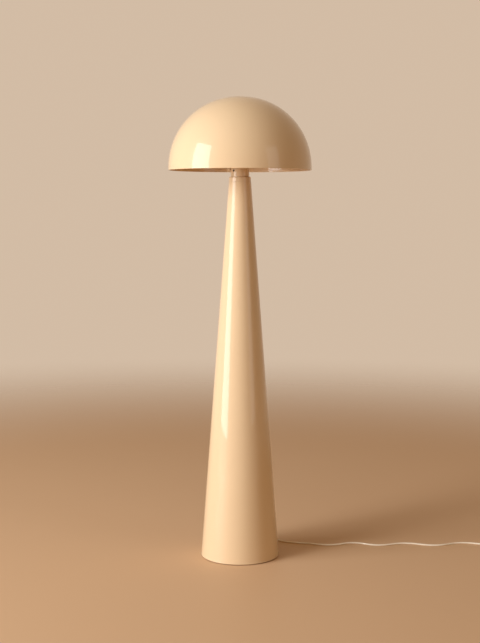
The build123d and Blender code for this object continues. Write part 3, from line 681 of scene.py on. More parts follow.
def floorFinish():
    # pale and plain, and fading out to the backdrop far from the lamp
    finish = Finish("paleFloor", roomSet["floor"], 0.55)
    darker = tuple(roomSet["floorDip"] * part for part in roomSet["floor"])
    finish.mottle(finish.noise(scale=3, detail=3), darker)
    distance = finish.node("ShaderNodeVectorMath", operation="LENGTH")
    finish.link(finish.coordinates.outputs["Object"], distance.inputs[0])
    fade = finish.node("ShaderNodeMapRange", interpolation_type="SMOOTHSTEP")
    fade.inputs["From Min"].default_value = roomSet["fadeStart"]
    fade.inputs["From Max"].default_value = roomSet["fadeEnd"]
    finish.link(distance.outputs["Value"], fade.inputs["Value"])
    clear = finish.node("ShaderNodeBsdfTransparent")
    mix = finish.node("ShaderNodeMixShader")
    finish.link(fade.outputs["Result"], mix.inputs["Fac"])
    finish.link(finish.shader.outputs["BSDF"], mix.inputs[1])
    finish.link(clear.outputs["BSDF"], mix.inputs[2])
    finish.link(mix.outputs["Shader"], finish.tree.nodes["Material Output"].inputs["Surface"])
    return finish.material


def makeFloor():
    clearSelection()
    bpy.ops.mesh.primitive_circle_add(
        vertices=96, radius=roomSet["floorRadius"], fill_type="NGON", location=(0, 0, 0)
    )
    floor = startPiece("floor")
    floor.data.materials.append(floorFinish())


def makeWorld():
    # camera, glossy and transmission rays find the backdrop's colour, all others the ambient light
    world = bpy.data.worlds.new("studio")
    world.use_nodes = True
    bpy.context.scene.world = world
    tree = world.node_tree
    tree.nodes.clear()
    rays = tree.nodes.new("ShaderNodeLightPath")
    seen = rays.outputs["Is Camera Ray"]
    for kind in ("Is Glossy Ray", "Is Transmission Ray"):
        either = tree.nodes.new("ShaderNodeMath")
        either.operation = "MAXIMUM"
        tree.links.new(seen, either.inputs[0])
        tree.links.new(rays.outputs[kind], either.inputs[1])
        seen = either.outputs["Value"]
    mix = tree.nodes.new("ShaderNodeMixShader")
    tree.links.new(seen, mix.inputs["Fac"])
    shades = ((roomSet["ambient"], roomSet["ambientLevel"]), (roomSet["backdrop"], 1.0))
    for socket, (colour, level) in enumerate(shades, 1):
        background = tree.nodes.new("ShaderNodeBackground")
        background.inputs["Color"].default_value = (*colour, 1)
        background.inputs["Strength"].default_value = level
        tree.links.new(background.outputs["Background"], mix.inputs[socket])
    output = tree.nodes.new("ShaderNodeOutputWorld")
    tree.links.new(mix.outputs["Shader"], output.inputs["Surface"])


# place, width and height, and the height aimed at, in metres; power in watts; fills aren't mirrored
lightSet = {
    "keySoftbox": {
        "place": (-4.32, -2.05, 1.99), "size": (2.61, 3.88), "aim": 1.99, "power": 196, "mirrored": True,
    },
    "frontFill": {
        "place": (-3.73, -3.03, 1.93), "size": (1.55, 2.20), "aim": 1.05, "power": 102, "mirrored": False,
    },
    "topFill": {
        "place": (-1.20, -1.00, 3.20), "size": (1.60, 1.60), "aim": 0.6, "power": 8, "mirrored": False,
    },
    "rightWindow": {
        "place": (3.78, -2.79, 1.87), "size": (1.62, 3.42), "aim": 1.87, "power": 16, "mirrored": True,
    },
}
lightColour = (1.0, 0.99, 0.98)


def makeLights():
    for name, light in lightSet.items():
        clearSelection()
        bpy.ops.object.light_add(type="AREA", location=light["place"])
        lamp = bpy.context.object
        lamp.name = name
        lamp.data.shape = "RECTANGLE"
        lamp.data.size, lamp.data.size_y = light["size"]
        lamp.data.energy = light["power"]
        lamp.data.color = lightColour
        lamp.visible_camera = False
        lamp.visible_glossy = light["mirrored"]
        x, y, z = light["place"]
        towards = Vector((-x, -y, light["aim"] - z))
        lamp.rotation_euler = towards.to_track_quat("-Z", "Y").to_euler()


makeFloor()
makeWorld()
makeLights()
bpy.context.scene.view_settings.view_transform = "Standard"
print("room and lights set")


# the shade's seat: brackets, studs and pads stand on one circle, at equal turns
seatSet = {"circle": 0.152, "arms": 3, "firstAngle": 90}


def onTheSeats(piece, name):
    return roundTheAxis(piece, name, seatSet["arms"], seatSet["firstAngle"])


# shade: one spun dome of even wall
domeSet = {
    "skirt": 0.0035, "fullness": 0.57, "wall": 0.0015, "around": 160, "rings": 36, "ringSpread": 0.92,
    "rimRound": 0.46, "halvings": 24,
}


def domePoint(along):
    # a point of the dome's outside, from the skirt's top (0) to the crown (1)
    low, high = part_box("shade_dome")
    spring = low.z + domeSet["skirt"]
    left = 1 - along
    out = left**3 + 3 * left**2 * along + 3 * left * along**2 * domeSet["fullness"]
    up = 3 * left**2 * along * domeSet["fullness"] + 3 * left * along**2 + along**3
    return high.x * out, spring + (high.z - spring) * up


def domeRadius(height):
    # the outside's radius at a height, found by halving
    below, above = 0.0, 1.0
    for _ in range(domeSet["halvings"]):
        middle = (below + above) / 2
        if domePoint(middle)[1] < height:
            below = middle
        else:
            above = middle
    return domePoint(below)[0]


def makeShadeDome():
    low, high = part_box("shade_dome")
    rings, wall = domeSet["rings"], domeSet["wall"]
    profile = [(high.x, low.z), domePoint(0)]
    profile += [domePoint((step / rings) ** domeSet["ringSpread"]) for step in range(1, rings)]
    profile.append((0, high.z))
    dome = turned("shadeDome", profile, domeSet["around"])
    giveWall(dome, wall)
    openMesh(dome)
    pick(dome, "edges", lambda edge, spot: spot.z < low.z + 2 * near and edge.calc_face_angle(0) > 1)
    bpy.ops.mesh.bevel(offset=wall * domeSet["rimRound"], segments=4)
    closeMesh()
    return finished(dome, "enamel", "shade", "shade_dome", sharp=50)


# brackets: bent sheet, spot-welded to the dome, each with a round-ended shelf
bracketSet = {
    "thickness": 0.0016, "half": 0.009, "land": 0.001, "bend": 0.0026, "seam": 0.00015, "margin": 0.008,
    "columns": (0, 0.12, 0.34, 0.56, 0.76, 0.90, 0.98, 1), "edge": 0.00025,
    "hole": 0.0028, "drillBelow": 0.001, "drillAbove": 0.004,
    "weldBall": 0.006, "weldDepth": 0.00035, "weldApart": 0.0046, "weldHeight": 0.0098,
}


def makeShadeBrackets():
    low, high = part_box("shade_brackets")
    circle, thickness = seatSet["circle"], bracketSet["thickness"]
    half, land, shares = bracketSet["half"], bracketSet["land"], bracketSet["columns"]
    start, endRadius = circle - bracketSet["margin"], half - land
    inset = domeSet["wall"] + bracketSet["seam"]
    foot, top = domeRadius(low.z) - inset, domeRadius(high.z) - inset
    path = roundedPath([(start, low.z), (foot, low.z), (top, high.z)], bracketSet["bend"])
    columns = [-share * half for share in reversed(shares)] + [share * half for share in shares[1:]]
    bracket = strip("shadeBracket", path, columns)
    openMesh(bracket)
    for column in columns:
        past = max(abs(column) - land, 0)
        back = endRadius - math.sqrt(max(endRadius**2 - past**2, 0))  # rounds the shelf's end
        pick(bracket, "verts", lambda part, spot: abs(spot.y - column) < near / 5 and spot.x < start + near)
        bpy.ops.transform.translate(value=(back, 0, 0))
        back = math.sqrt(foot**2 - column**2) - foot  # follows the dome's curve
        pick(bracket, "verts",
             lambda part, spot: abs(spot.y - column) < near / 5 and spot.x > circle + endRadius)
        bpy.ops.transform.translate(value=(back, 0, 0))
    closeMesh()
    giveWall(bracket, thickness)
    holeLow, holeHigh = low.z - bracketSet["drillBelow"], low.z + bracketSet["drillAbove"]
    drill(bracket, bracketSet["hole"], (circle, 0, holeLow), (circle, 0, holeHigh))
    ball, weldAt = bracketSet["weldBall"], low.z + bracketSet["weldHeight"]
    ballPlace = domeRadius(weldAt) - inset - thickness - ball + bracketSet["weldDepth"]
    for side in (-1, 1):
        place = (ballPlace, side * bracketSet["weldApart"], weldAt)
        bpy.ops.mesh.primitive_uv_sphere_add(segments=48, ring_count=24, radius=ball, location=place)
        combine(bracket, bpy.context.object, "DIFFERENCE")
    softenEdges(bracket, bracketSet["edge"], segments=2, angle=40)
    brackets = onTheSeats(bracket, "shadeBrackets")
    return finished(brackets, "enamel", "shade", "shade_brackets", sharp=35)


makeShadeDome()
makeShadeBrackets()
print("shade dome and brackets made")


# stem: rolled cone with a bead along its foot, and the hole for the cord
stemSet = {
    "baseRadius": 0.111, "topRadius": 0.031, "wall": 0.0015, "around": 160, "edge": 0.0003,
    "outsideRings": (0.0075, 0.011, 0.028, 0.2, 0.4, 0.6, 0.8), "insideRings": (0.6, 0.2, 0.028, 0.011),
    "hemHeight": 0.0055, "beadRadius": 0.002, "beadStanding": 0.0006, "beadBottom": 0.0015,
    "exitHeight": 0.019, "exitRadius": 0.0054, "exitReach": 0.01,
}


def stemRadius(height, inset=0.0):
    low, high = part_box("stem_cone")
    share = (height - low.z) / (high.z - low.z)
    return stemSet["baseRadius"] + (stemSet["topRadius"] - stemSet["baseRadius"]) * share - inset


def makeStemCone():
    low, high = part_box("stem_cone")
    wall, bead = stemSet["wall"], stemSet["beadRadius"]
    beadMiddle = stemSet["beadBottom"] + bead
    beadCentre = stemRadius(beadMiddle) + stemSet["beadStanding"] - bead
    hemTop = low.z + stemSet["hemHeight"]
    outside = [(stemRadius(height), height) for height in (*stemSet["outsideRings"], high.z)]
    inside = [(stemRadius(height, wall), height) for height in (high.z, *stemSet["insideRings"], hemTop)]
    inside.append((stemRadius(hemTop, 2 * wall), hemTop))
    hem = arcPoints((beadCentre, beadMiddle), bead, 180, 405, 16)
    cone = turnedRing("stemCone", outside + inside + hem, stemSet["around"])
    height, reach = stemSet["exitHeight"], stemSet["exitReach"]
    wallPlace = stemRadius(height)
    drill(cone, stemSet["exitRadius"], (0, wallPlace - reach, height), (0, wallPlace + reach, height))
    softenEdges(cone, stemSet["edge"], segments=2, angle=60)
    return finished(cone, "enamel", "stand", "stem_cone", sharp=30)


makeStemCone()
print("stem cone made")


# cap on the stem and the cup round the lampholder
capSet = {
    "rounding": 0.002, "web": 0.004, "bore": 0.00505, "spigotRadius": 0.02945, "spigotBore": 0.02645,
    "edge": 0.0003,
}
cupSet = {
    "wall": 0.0015, "floor": 0.002, "rounding": 0.0012, "bore": 0.00505, "edge": 0.00025,
    "bandBelow": 0.009, "bandAbove": 0.007, "bushHole": 0.0046, "screwHole": 0.00205, "screwAngle": -132,
    "drillFrom": 0.02, "drillTo": 0.03,
}


def makeTopCap():
    low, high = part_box("top_cap")
    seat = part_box("stem_cone")[1].z
    rounding, bore, under = capSet["rounding"], capSet["bore"], high.z - capSet["web"]
    spigot, spigotBore = capSet["spigotRadius"], capSet["spigotBore"]
    cap = turnedRing("topCap", [
        (high.x, seat), *arcPoints((high.x - rounding, high.z - rounding), rounding, 0, 90, 7),
        (bore, high.z), (bore, under), (spigotBore, under), (spigotBore, low.z), (spigot, low.z),
        (spigot, seat),
    ], around=128)
    softenEdges(cap, capSet["edge"], segments=2, angle=50)
    return finished(cap, "enamel", "stand", "top_cap", sharp=30)


def makeHolderCup():
    low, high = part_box("holder_cup")
    rounding, bore, angle = cupSet["rounding"], cupSet["bore"], cupSet["screwAngle"]
    inner, floorTop = high.x - cupSet["wall"], low.z + cupSet["floor"]
    switchHeight, screwHeight = middleHeight("switch_knob"), middleHeight("cup_screw")
    below, above = switchHeight - cupSet["bandBelow"], switchHeight + cupSet["bandAbove"]
    cup = turnedRing("holderCup", [
        (bore, low.z), *arcPoints((high.x - rounding, low.z + rounding), rounding, -90, 0, 6),
        (high.x, below), (high.x, above), (high.x, high.z), (inner, high.z), (inner, above), (inner, below),
        (inner, floorTop), (bore, floorTop),
    ], around=128)
    start, end = cupSet["drillFrom"], cupSet["drillTo"]
    drill(cup, cupSet["bushHole"], (-start, 0, switchHeight), (-end, 0, switchHeight))
    drill(cup, cupSet["screwHole"], outwards(angle, start, screwHeight), outwards(angle, end, screwHeight))
    softenEdges(cup, cupSet["edge"], segments=2, angle=50)
    return finished(cup, "enamel", "stand", "holder_cup", sharp=30)


makeTopCap()
makeHolderCup()
print("cap and cup made")


# foot ring, recessed under the stem
footSet = {"inner": 0.084, "rounding": 0.0012}


def makeFootRing():
    low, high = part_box("foot_ring")
    inner = footSet["inner"]
    profile = [(high.x, low.z), (high.x, high.z), (inner, high.z), (inner, low.z)]
    ring = turnedRing("footRing", profile, around=128)
    softenEdges(ring, footSet["rounding"], segments=4, angle=50)
    return finished(ring, "foot_rubber", "stand", "foot_ring", sharp=30)


makeFootRing()
print("foot ring made")


# switch knob: turned, with flutes that fade towards its nose
knobSet = {
    "radius": 0.0078, "tip": 0.0066, "nose": 0.0026, "edge": 0.0008, "columns": 168,
    "back": ((0, 0.0005), (0.0038, 0.0005), (0.0044, 0)),
    "dish": 0.0004, "dishEdge": (0.8, 0.6),  # shares of the nose's radius and of the dish's depth
    "flutes": 14, "fluteStart": 0.0016,
    "fluteDepths": {0.0023: 0.075, 0.0036: 0.062, 0.0050: 0.046, 0.0064: 0.028},
    "fluteSection": ((1.0, 0), (0.92, 1 / 12), (0.66, 1 / 6), (0.18, 1 / 4)),
}


def makeSwitchKnob():
    low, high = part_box("switch_knob")
    length = high.x - low.x
    radius, nose, edge, dish = (knobSet[part] for part in ("radius", "nose", "edge", "dish"))

    def side(height):
        return radius + (knobSet["tip"] - radius) * height / length

    noseTop = side(length) - nose
    outShare, depthShare = knobSet["dishEdge"]
    knob = turned("switchKnob", [
        *knobSet["back"], *arcPoints((radius - edge, edge), edge, -90, 0, 5),
        *((side(height), height) for height in (knobSet["fluteStart"], *knobSet["fluteDepths"])),
        *arcPoints((noseTop, length - nose), nose, 8, 90, 8),
        (noseTop * outShare, length - dish * depthShare), (0, length - dish),
    ], knobSet["columns"])
    for height, depth in knobSet["fluteDepths"].items():
        fluted(knob, knobSet["flutes"], depth, knobSet["fluteSection"],
               lambda spot: abs(spot.z - height) < near)
    aim(knob, (high.x, 0, middleHeight("switch_knob")), (-1, 0, 0))
    return finished(knob, "knob_plastic", "knob", "switch_knob", sharp=40)


makeSwitchKnob()
print("knob made")


# cup screw: round head with a hexagon socket
cupScrewSet = {
    "radius": 0.002, "shank": 0.006, "head": 0.0029, "headHeight": 0.0013, "rounding": 0.0009,
    "seat": 0.0001, "socket": 0.00145, "socketDepth": 0.0009, "clearance": 0.001,
}


def cutHexagon(piece, radius, start, end):
    clearSelection()
    bpy.ops.mesh.primitive_cylinder_add(
        vertices=6, radius=radius, depth=end - start, location=(0, 0, (start + end) / 2)
    )
    combine(piece, bpy.context.object, "DIFFERENCE")


def makeCupScrew():
    radius, head, top = cupScrewSet["radius"], cupScrewSet["head"], cupScrewSet["headHeight"]
    shank, seat, rounding = cupScrewSet["shank"], cupScrewSet["seat"], cupScrewSet["rounding"]
    screw = turned("cupScrew", [
        (0, -shank), (radius, -shank), (radius, seat), (head, seat),
        *arcPoints((head - rounding, top - rounding), rounding, 0, 90, 6), (0, top),
    ], around=48)
    bottom, clear = top - cupScrewSet["socketDepth"], top + cupScrewSet["clearance"]
    cutHexagon(screw, cupScrewSet["socket"], bottom, clear)
    angle, cupRadius = cupSet["screwAngle"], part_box("holder_cup")[1].x
    aim(screw, outwards(angle, cupRadius, middleHeight("cup_screw")), outwards(angle, 1, 0))
    return finished(screw, "black_steel", "stand", "cup_screw", sharp=35)


makeCupScrew()
print("cup screw made")


# lampholder: threaded shell, screw shell inside it, clamping ring
shellSet = {
    "radius": 0.0195, "root": 0.0188, "bore": 0.015, "rounding": 0.001, "flange": 0.003, "lip": 0.0009,
    "mouthInset": 0.0001, "mouthStep": 0.0004, "edge": 0.00025,
    "pitch": 0.0024, "ridge": (0.0004, 0.0010, 0.0014, 0.0020), "threadWall": 0.0006,
}


def makeHolderShell():
    low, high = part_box("holder_shell")
    radius, root, bore, pitch = (shellSet[part] for part in ("radius", "root", "bore", "pitch"))
    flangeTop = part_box("shade_carrier")[0].z
    flange, threadTop = flangeTop - shellSet["flange"], high.z - 2 * shellSet["lip"]
    mouth, rounding = radius - shellSet["mouthInset"], shellSet["rounding"]
    shell = turnedRing("holderShell", [
        (bore, low.z), (radius, low.z), (radius, flange), (high.x, flange), (high.x, flangeTop),
        (root, flangeTop), (root, threadTop), (mouth, threadTop + shellSet["mouthStep"]),
        *arcPoints((mouth - rounding, high.z - rounding), rounding, 0, 90, 5),
        (bore + rounding, high.z), (bore, high.z - rounding),
    ])
    softenEdges(shell, shellSet["edge"], segments=2, angle=50)
    rise, crest, crestEnd, fall = shellSet["ridge"]
    ridge = [(root, 0), (root, rise), (radius, crest), (radius, crestEnd), (root, fall), (root, pitch)]
    start = flangeTop - pitch
    thread = wound("holderThread", ridge, pitch, int((high.z - start) / pitch), steps=72)
    thread.location.z = start
    applyPlace(thread)
    trim(thread, flangeTop, False)
    trim(thread, threadTop, True)
    thicken(thread, shellSet["threadWall"], -1)
    shell = joinPieces("holderShell", shell, thread)
    return finished(shell, "holder_plastic", "stand", "holder_shell", sharp=35)


bulbThreadSet = {
    "pitch": 0.0036, "shellValley": 0.01365, "shellCrest": 0.0143, "capValley": 0.0123, "capCrest": 0.0131,
}


def woundSleeve(name, valley, crest, low, high, wall):
    # a sleeve of sheet rolled to the bulb's thread
    pitch = bulbThreadSet["pitch"]
    turns = math.ceil((high - low) / pitch) + 2
    sleeve = wound(name, threadWave(valley, crest, pitch), pitch, turns, steps=64)
    sleeve.location.z = low - pitch
    applyPlace(sleeve)
    trim(sleeve, low, False)
    trim(sleeve, high, True)
    thicken(sleeve, wall, 0)
    return sleeve


screwShellSet = {
    "wall": 0.00035, "start": 0.0008, "mouth": 0.0016, "overlap": 0.0001, "corner": 0.0002,
    "chamfer": 0.0003, "footBore": 0.0117, "footSheet": 0.0005, "footTop": 0.0009, "footStep": 0.0004,
}


def makeScrewShell():
    low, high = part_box("screw_shell")
    wall, corner, chamfer = screwShellSet["wall"], screwShellSet["corner"], screwShellSet["chamfer"]
    valley, crest = bulbThreadSet["shellValley"] + wall / 2, bulbThreadSet["shellCrest"]
    mouth = high.z - screwShellSet["mouth"]
    band = mouth - screwShellSet["overlap"]
    sleeve = woundSleeve("screwShell", valley, crest, low.z + screwShellSet["start"], mouth, wall)
    collar = turnedRing("shellMouth", [
        (valley, band), (crest, band), (crest, high.z - corner), (crest - chamfer, high.z),
        (valley + corner, high.z), (valley, high.z - chamfer),
    ])
    bore, step = screwShellSet["footBore"], valley - screwShellSet["footStep"]
    sheet, top = low.z + screwShellSet["footSheet"], low.z + screwShellSet["footTop"]
    foot = turnedRing("shellFoot", [
        (bore, low.z), (crest, low.z), (crest, top), (valley, top), (step, sheet), (bore, sheet),
    ])
    shell = joinPieces("screwShell", sleeve, collar, foot)
    return finished(shell, "brass", "stand", "screw_shell", sharp=40)


ringSet = {
    "bore": 0.01955, "boreChamfer": 0.0006, "radius": 0.0234, "lip": 0.0024, "chamfer": 0.0003,
    "lipRound": 0.0007, "roundMiddle": 0.0002, "fillet": 0.0004, "topRound": 0.0008, "columns": 192,
    "grips": 12, "gripDepth": 0.0385, "gripLand": 0.0008, "gripRise": 0.0006,
    "gripSection": ((1.0, 0), (0.77, 1 / 16)),
}


def makeShadeRing():
    low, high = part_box("shade_ring")
    bore, boreChamfer, radius = ringSet["bore"], ringSet["boreChamfer"], ringSet["radius"]
    chamfer, fillet, middle = ringSet["chamfer"], ringSet["fillet"], ringSet["roundMiddle"]
    lipRound, topRound, rise = ringSet["lipRound"], ringSet["topRound"], ringSet["gripRise"]
    step = low.z + ringSet["lip"]
    gripStart = step + ringSet["gripLand"]
    ring = turnedRing("shadeRing", [
        (bore, low.z), (high.x - chamfer, low.z), (high.x, low.z + chamfer), (high.x, step - lipRound),
        (high.x - middle, step - middle), (high.x - lipRound, step), (radius + fillet, step),
        (radius, step + fillet), (radius, gripStart), (radius, gripStart + rise),
        (radius, high.z - topRound), (radius - middle, high.z - chamfer), (radius - topRound, high.z),
        (bore + boreChamfer, high.z), (bore, high.z - boreChamfer),
    ], ringSet["columns"])
    fluted(ring, ringSet["grips"], ringSet["gripDepth"], ringSet["gripSection"],
           lambda spot: spot.z > gripStart + rise / 2 and math.hypot(spot.x, spot.y) > radius - 10 * near)
    return finished(ring, "holder_plastic", "stand", "shade_ring", sharp=35)


makeHolderShell()
makeScrewShell()
makeShadeRing()
print("lampholder made")


# shade carrier: hub and three cranked arms with a pressed bead, studs and pads
carrierSet = {
    "thickness": 0.002, "hubRadius": 0.029, "hubBore": 0.0197, "armWidth": 0.011, "armStart": 0.0225,
    "knee": 0.042, "shoulder": 0.136, "reach": 0.162, "rise": 0.030, "bend": 0.008, "tipCorner": 0.005,
    "beadHalf": 0.0017, "beadDepth": 0.0008, "beadSlope": 0.0008, "beadFlat": 0.6, "edge": 0.00035,
}
studSet = {"radius": 0.0025, "nose": 0.0019, "head": 0.0042, "headHeight": 0.0016, "headRounding": 0.0011}
padSet = {"radius": 0.0055, "bore": 0.00255, "rounding": 0.0005}


def makeArm(low):
    thickness, half, rise = carrierSet["thickness"], carrierSet["armWidth"] / 2, carrierSet["rise"]
    bead, reach = carrierSet["beadHalf"], carrierSet["reach"]
    middle = low + thickness / 2
    path = roundedPath([
        (carrierSet["armStart"], middle), (carrierSet["knee"], middle),
        (carrierSet["shoulder"], middle + rise), (reach, middle + rise),
    ], carrierSet["bend"])
    flat, slope = bead * carrierSet["beadFlat"], bead + carrierSet["beadSlope"]
    arm = strip("arm", path, (-half, -slope, -flat, 0, flat, slope, half))
    openMesh(arm)
    start, end = path[7].x - near, path[8].x + near  # the straight stretch between the two bends
    pick(arm, "verts", lambda part, spot: abs(spot.y) < bead and start < spot.x < end)
    bpy.ops.transform.translate(value=(0, 0, -carrierSet["beadDepth"]))
    closeMesh()
    giveWall(arm, thickness, offset=0)
    openMesh(arm)
    pick(arm, "edges", lambda edge, spot: spot.x > reach - near and abs(spot.y) > half - near
         and abs(edge.verts[0].co.z - edge.verts[1].co.z) > thickness / 2)
    bpy.ops.mesh.bevel(offset=carrierSet["tipCorner"], segments=6)
    closeMesh()
    return arm


def makeShadeCarrier():
    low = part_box("shade_carrier")[0].z
    bore, rim, top = carrierSet["hubBore"], carrierSet["hubRadius"], low + carrierSet["thickness"]
    carrier = turnedRing("shadeCarrier", [(bore, low), (rim, low), (rim, top), (bore, top)])
    arm = makeArm(low)
    for step in range(seatSet["arms"]):
        angle = seatSet["firstAngle"] + 360 * step / seatSet["arms"]
        combine(carrier, turnedCopy(arm, f"arm{step}", angle), "UNION")
    bpy.data.objects.remove(arm)
    softenEdges(carrier, carrierSet["edge"], segments=2, angle=50)
    clearSlivers(carrier)
    return finished(carrier, "carrier_steel", "stand", "shade_carrier", sharp=35)


def roundHead(low, head, rounding):
    # from the axis over a screw head's face and its rounded edge
    return [(0, low), *arcPoints((head - rounding, low + rounding), rounding, -90, 0, 6)]


def makeCarrierStuds():
    low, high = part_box("carrier_studs")
    radius, nose, head = studSet["radius"], studSet["nose"], studSet["head"]
    tip, seat = high.z - nose, low.z + studSet["headHeight"]
    stud = turned("carrierStud", [
        *roundHead(low.z, head, studSet["headRounding"]), (head, seat), (radius, seat), (radius, tip),
        *arcPoints((radius - nose, tip), nose, 15, 90, 6), (0, high.z),
    ], around=48)
    stud.location.x += seatSet["circle"]
    studs = onTheSeats(stud, "carrierStuds")
    return finished(studs, "zinc_steel", "stand", "carrier_studs", sharp=35)


def makeCarrierPads():
    low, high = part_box("carrier_pads")
    bore, radius = padSet["bore"], padSet["radius"]
    profile = [(bore, low.z), (radius, low.z), (radius, high.z), (bore, high.z)]
    pad = turnedRing("carrierPad", profile, around=48)
    softenEdges(pad, padSet["rounding"], segments=3, angle=50)
    pad.location.x += seatSet["circle"]
    pads = onTheSeats(pad, "carrierPads")
    return finished(pads, "pad_silicone", "stand", "carrier_pads", sharp=40)


makeShadeCarrier()
makeCarrierStuds()
makeCarrierPads()
print("shade carrier made")


# bulb
bulbSet = {
    "radius": 0.030, "neck": 0.0126, "wall": 0.001, "neckPull": 0.38, "bellyPull": 0.42, "overlap": 0.006,
    "steps": 16,
}
bulbCapSet = {
    "wall": 0.0002, "threadStart": 0.0016, "threadEnd": 0.0042, "overlap": 0.0001, "bore": 0.0127,
    "beadHeight": 0.0012, "chamfer": 0.0003, "footInset": 0.0002, "footTop": 0.0006,
    "footOutline": ((0.0105, 0), (0.0114, 0), (0.0121, 0.0004), (0.0124, 0.0010)),
}
# the glass disc in the cap's end, and the pressed eyelet on it with its drop of solder
capEndSet = {
    "bulbInsulator": {
        "node": "bulb_insulator", "slot": "black_glass", "around": 64, "top": 0.0113,
        "outline": (
            (0, 0), (0.0057, 0), (0.0064, 0.0004), (0.0072, 0.0012), (0.0088, 0.0022),
            (0.0106, 0.0031),
        ),
    },
    "bulbContact": {
        "node": "bulb_contact", "slot": "bulb_nickel", "around": 48, "top": 0.0047,
        "outline": (
            (0, 0), (0.0012, 0.00005), (0.0019, 0.0003), (0.0024, 0.0004), (0.0036, 0.0003),
            (0.0044, 0.0006),
        ),
    },
}


def bulbProfile(capTop, crown):
    neck, belly = bulbSet["neck"], bulbSet["radius"]
    centre = crown - belly
    profile = [(neck, capTop - bulbSet["overlap"])]
    for step in range(bulbSet["steps"] + 1):
        along = step / bulbSet["steps"]
        left = 1 - along
        early, late, last = 3 * left**2 * along, 3 * left * along**2, along**3
        out = neck * (left**3 + early) + belly * (late + last)
        up = early * bulbSet["neckPull"] + late * (1 - bulbSet["bellyPull"]) + last
        profile.append((out, capTop + (centre - capTop) * up))
    return profile + arcPoints((0, centre), belly, 5, 85, 16) + [(0, centre + belly)]


def makeBulbGlass():
    capTop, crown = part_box("bulb_cap")[1].z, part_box("bulb_glass")[1].z
    glass = turned("bulbGlass", bulbProfile(capTop, crown))
    giveWall(glass, bulbSet["wall"])
    return finished(glass, "opal_glass", "bulb", "bulb_glass", sharp=60)


def makeBulbCap():
    low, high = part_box("bulb_cap")
    valley, crest = bulbThreadSet["capValley"], bulbThreadSet["capCrest"]
    overlap, chamfer, bore = bulbCapSet["overlap"], bulbCapSet["chamfer"], bulbCapSet["bore"]
    threadLow, threadHigh = low.z + bulbCapSet["threadStart"], high.z - bulbCapSet["threadEnd"]
    sleeve = woundSleeve("bulbCap", valley, crest, threadLow, threadHigh, bulbCapSet["wall"])
    band, bead = threadHigh - overlap, crest + overlap
    collar = turnedRing("capCollar", [
        (valley - overlap, band), (bead, band), (bead, high.z - bulbCapSet["beadHeight"]),
        (crest, high.z - chamfer), (crest - chamfer, high.z), (bore, high.z), (bore, band),
    ])
    outline = [(out, low.z + up) for out, up in bulbCapSet["footOutline"]]
    top = threadLow + overlap
    foot = turnedRing("capFoot", [
        *outline, (crest, top), (valley - bulbCapSet["footInset"], top),
        (outline[0][0], low.z + bulbCapSet["footTop"]),
    ])
    cap = joinPieces("bulbCap", sleeve, collar, foot)
    return finished(cap, "bulb_nickel", "bulb", "bulb_cap", sharp=40)


def makeCapEnds():
    for name, part in capEndSet.items():
        low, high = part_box(part["node"])
        outline = [(out, low.z + up) for out, up in part["outline"]]
        piece = turned(name, [*outline, (part["top"], high.z), (0, high.z)], part["around"])
        finished(piece, part["slot"], "bulb", part["node"], sharp=50)


makeBulbGlass()
makeBulbCap()
makeCapEnds()
print("bulb made")


# cord boot in the foot's back
bootSet = {
    "flange": 0.0076, "flangeThickness": 0.0026, "flangeRound": 0.0008, "root": 0.006, "tip": 0.0037,
    "length": 0.031, "bore": 0.0026, "hole": 0.0053, "collar": 0.0066, "innerFace": -0.0021,
    "outerFace": 0.0001, "plainEnds": 0.0012, "chamfer": 0.0003, "edge": 0.00012,
    "ribs": 7, "groove": 0.0006, "ribSection": ((0.0, 0), (0.45, 0), (0.55, 1), (0.9, 1)),
}


def ribPoints(start, end, settings, radiusAt):
    # (radius, place) points of a sleeve's ribs, with the groove taken off where the section says 1
    pitch = (end - start) / settings["ribs"]
    points = []
    for rib in range(settings["ribs"]):
        for share, dip in settings["ribSection"]:
            place = start + pitch * (rib + share)
            points.append((radiusAt(place) - dip * settings["groove"], place))
    return points


def makeCordBoot():
    low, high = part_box("cord_boot")
    length, thick, flange = bootSet["length"], bootSet["flangeThickness"], bootSet["flange"]
    root, tip, bore, rounding = (bootSet[part] for part in ("root", "tip", "bore", "flangeRound"))
    hole, collar, plain = bootSet["hole"], bootSet["collar"], bootSet["plainEnds"]
    innerFace, outerFace = bootSet["innerFace"], bootSet["outerFace"]
    wallPlace = high.y - length
    inner = low.y - wallPlace

    def sleeve(place):
        return root + (tip - root) * (place - thick) / (length - thick)

    boot = turnedRing("cordBoot", [
        (bore, inner), (collar, inner), (collar, innerFace), (hole, innerFace), (hole, outerFace),
        (flange, outerFace), *arcPoints((flange - rounding, thick - rounding), rounding, 0, 90, 4),
        *ribPoints(thick + plain, length - plain, bootSet, sleeve),
        (tip, length - plain), (tip - bootSet["chamfer"], length), (bore, length),
    ], around=64)
    softenEdges(boot, bootSet["edge"], segments=2, angle=40)
    aim(boot, (0, wallPlace, stemSet["exitHeight"]), (0, 1, 0))
    return finished(boot, "cord_white", "stand", "cord_boot", sharp=40)


makeCordBoot()
print("boot made")


# strap round the coil: one turn that laps over itself
tieSet = {
    "thickness": 0.0008, "fill": 0.96, "corner": 0.0022, "lap": 0.013, "lapStart": 0.002, "lapStep": 0.0008,
    "selvedge": 0.0005, "edge": 0.0002,
}


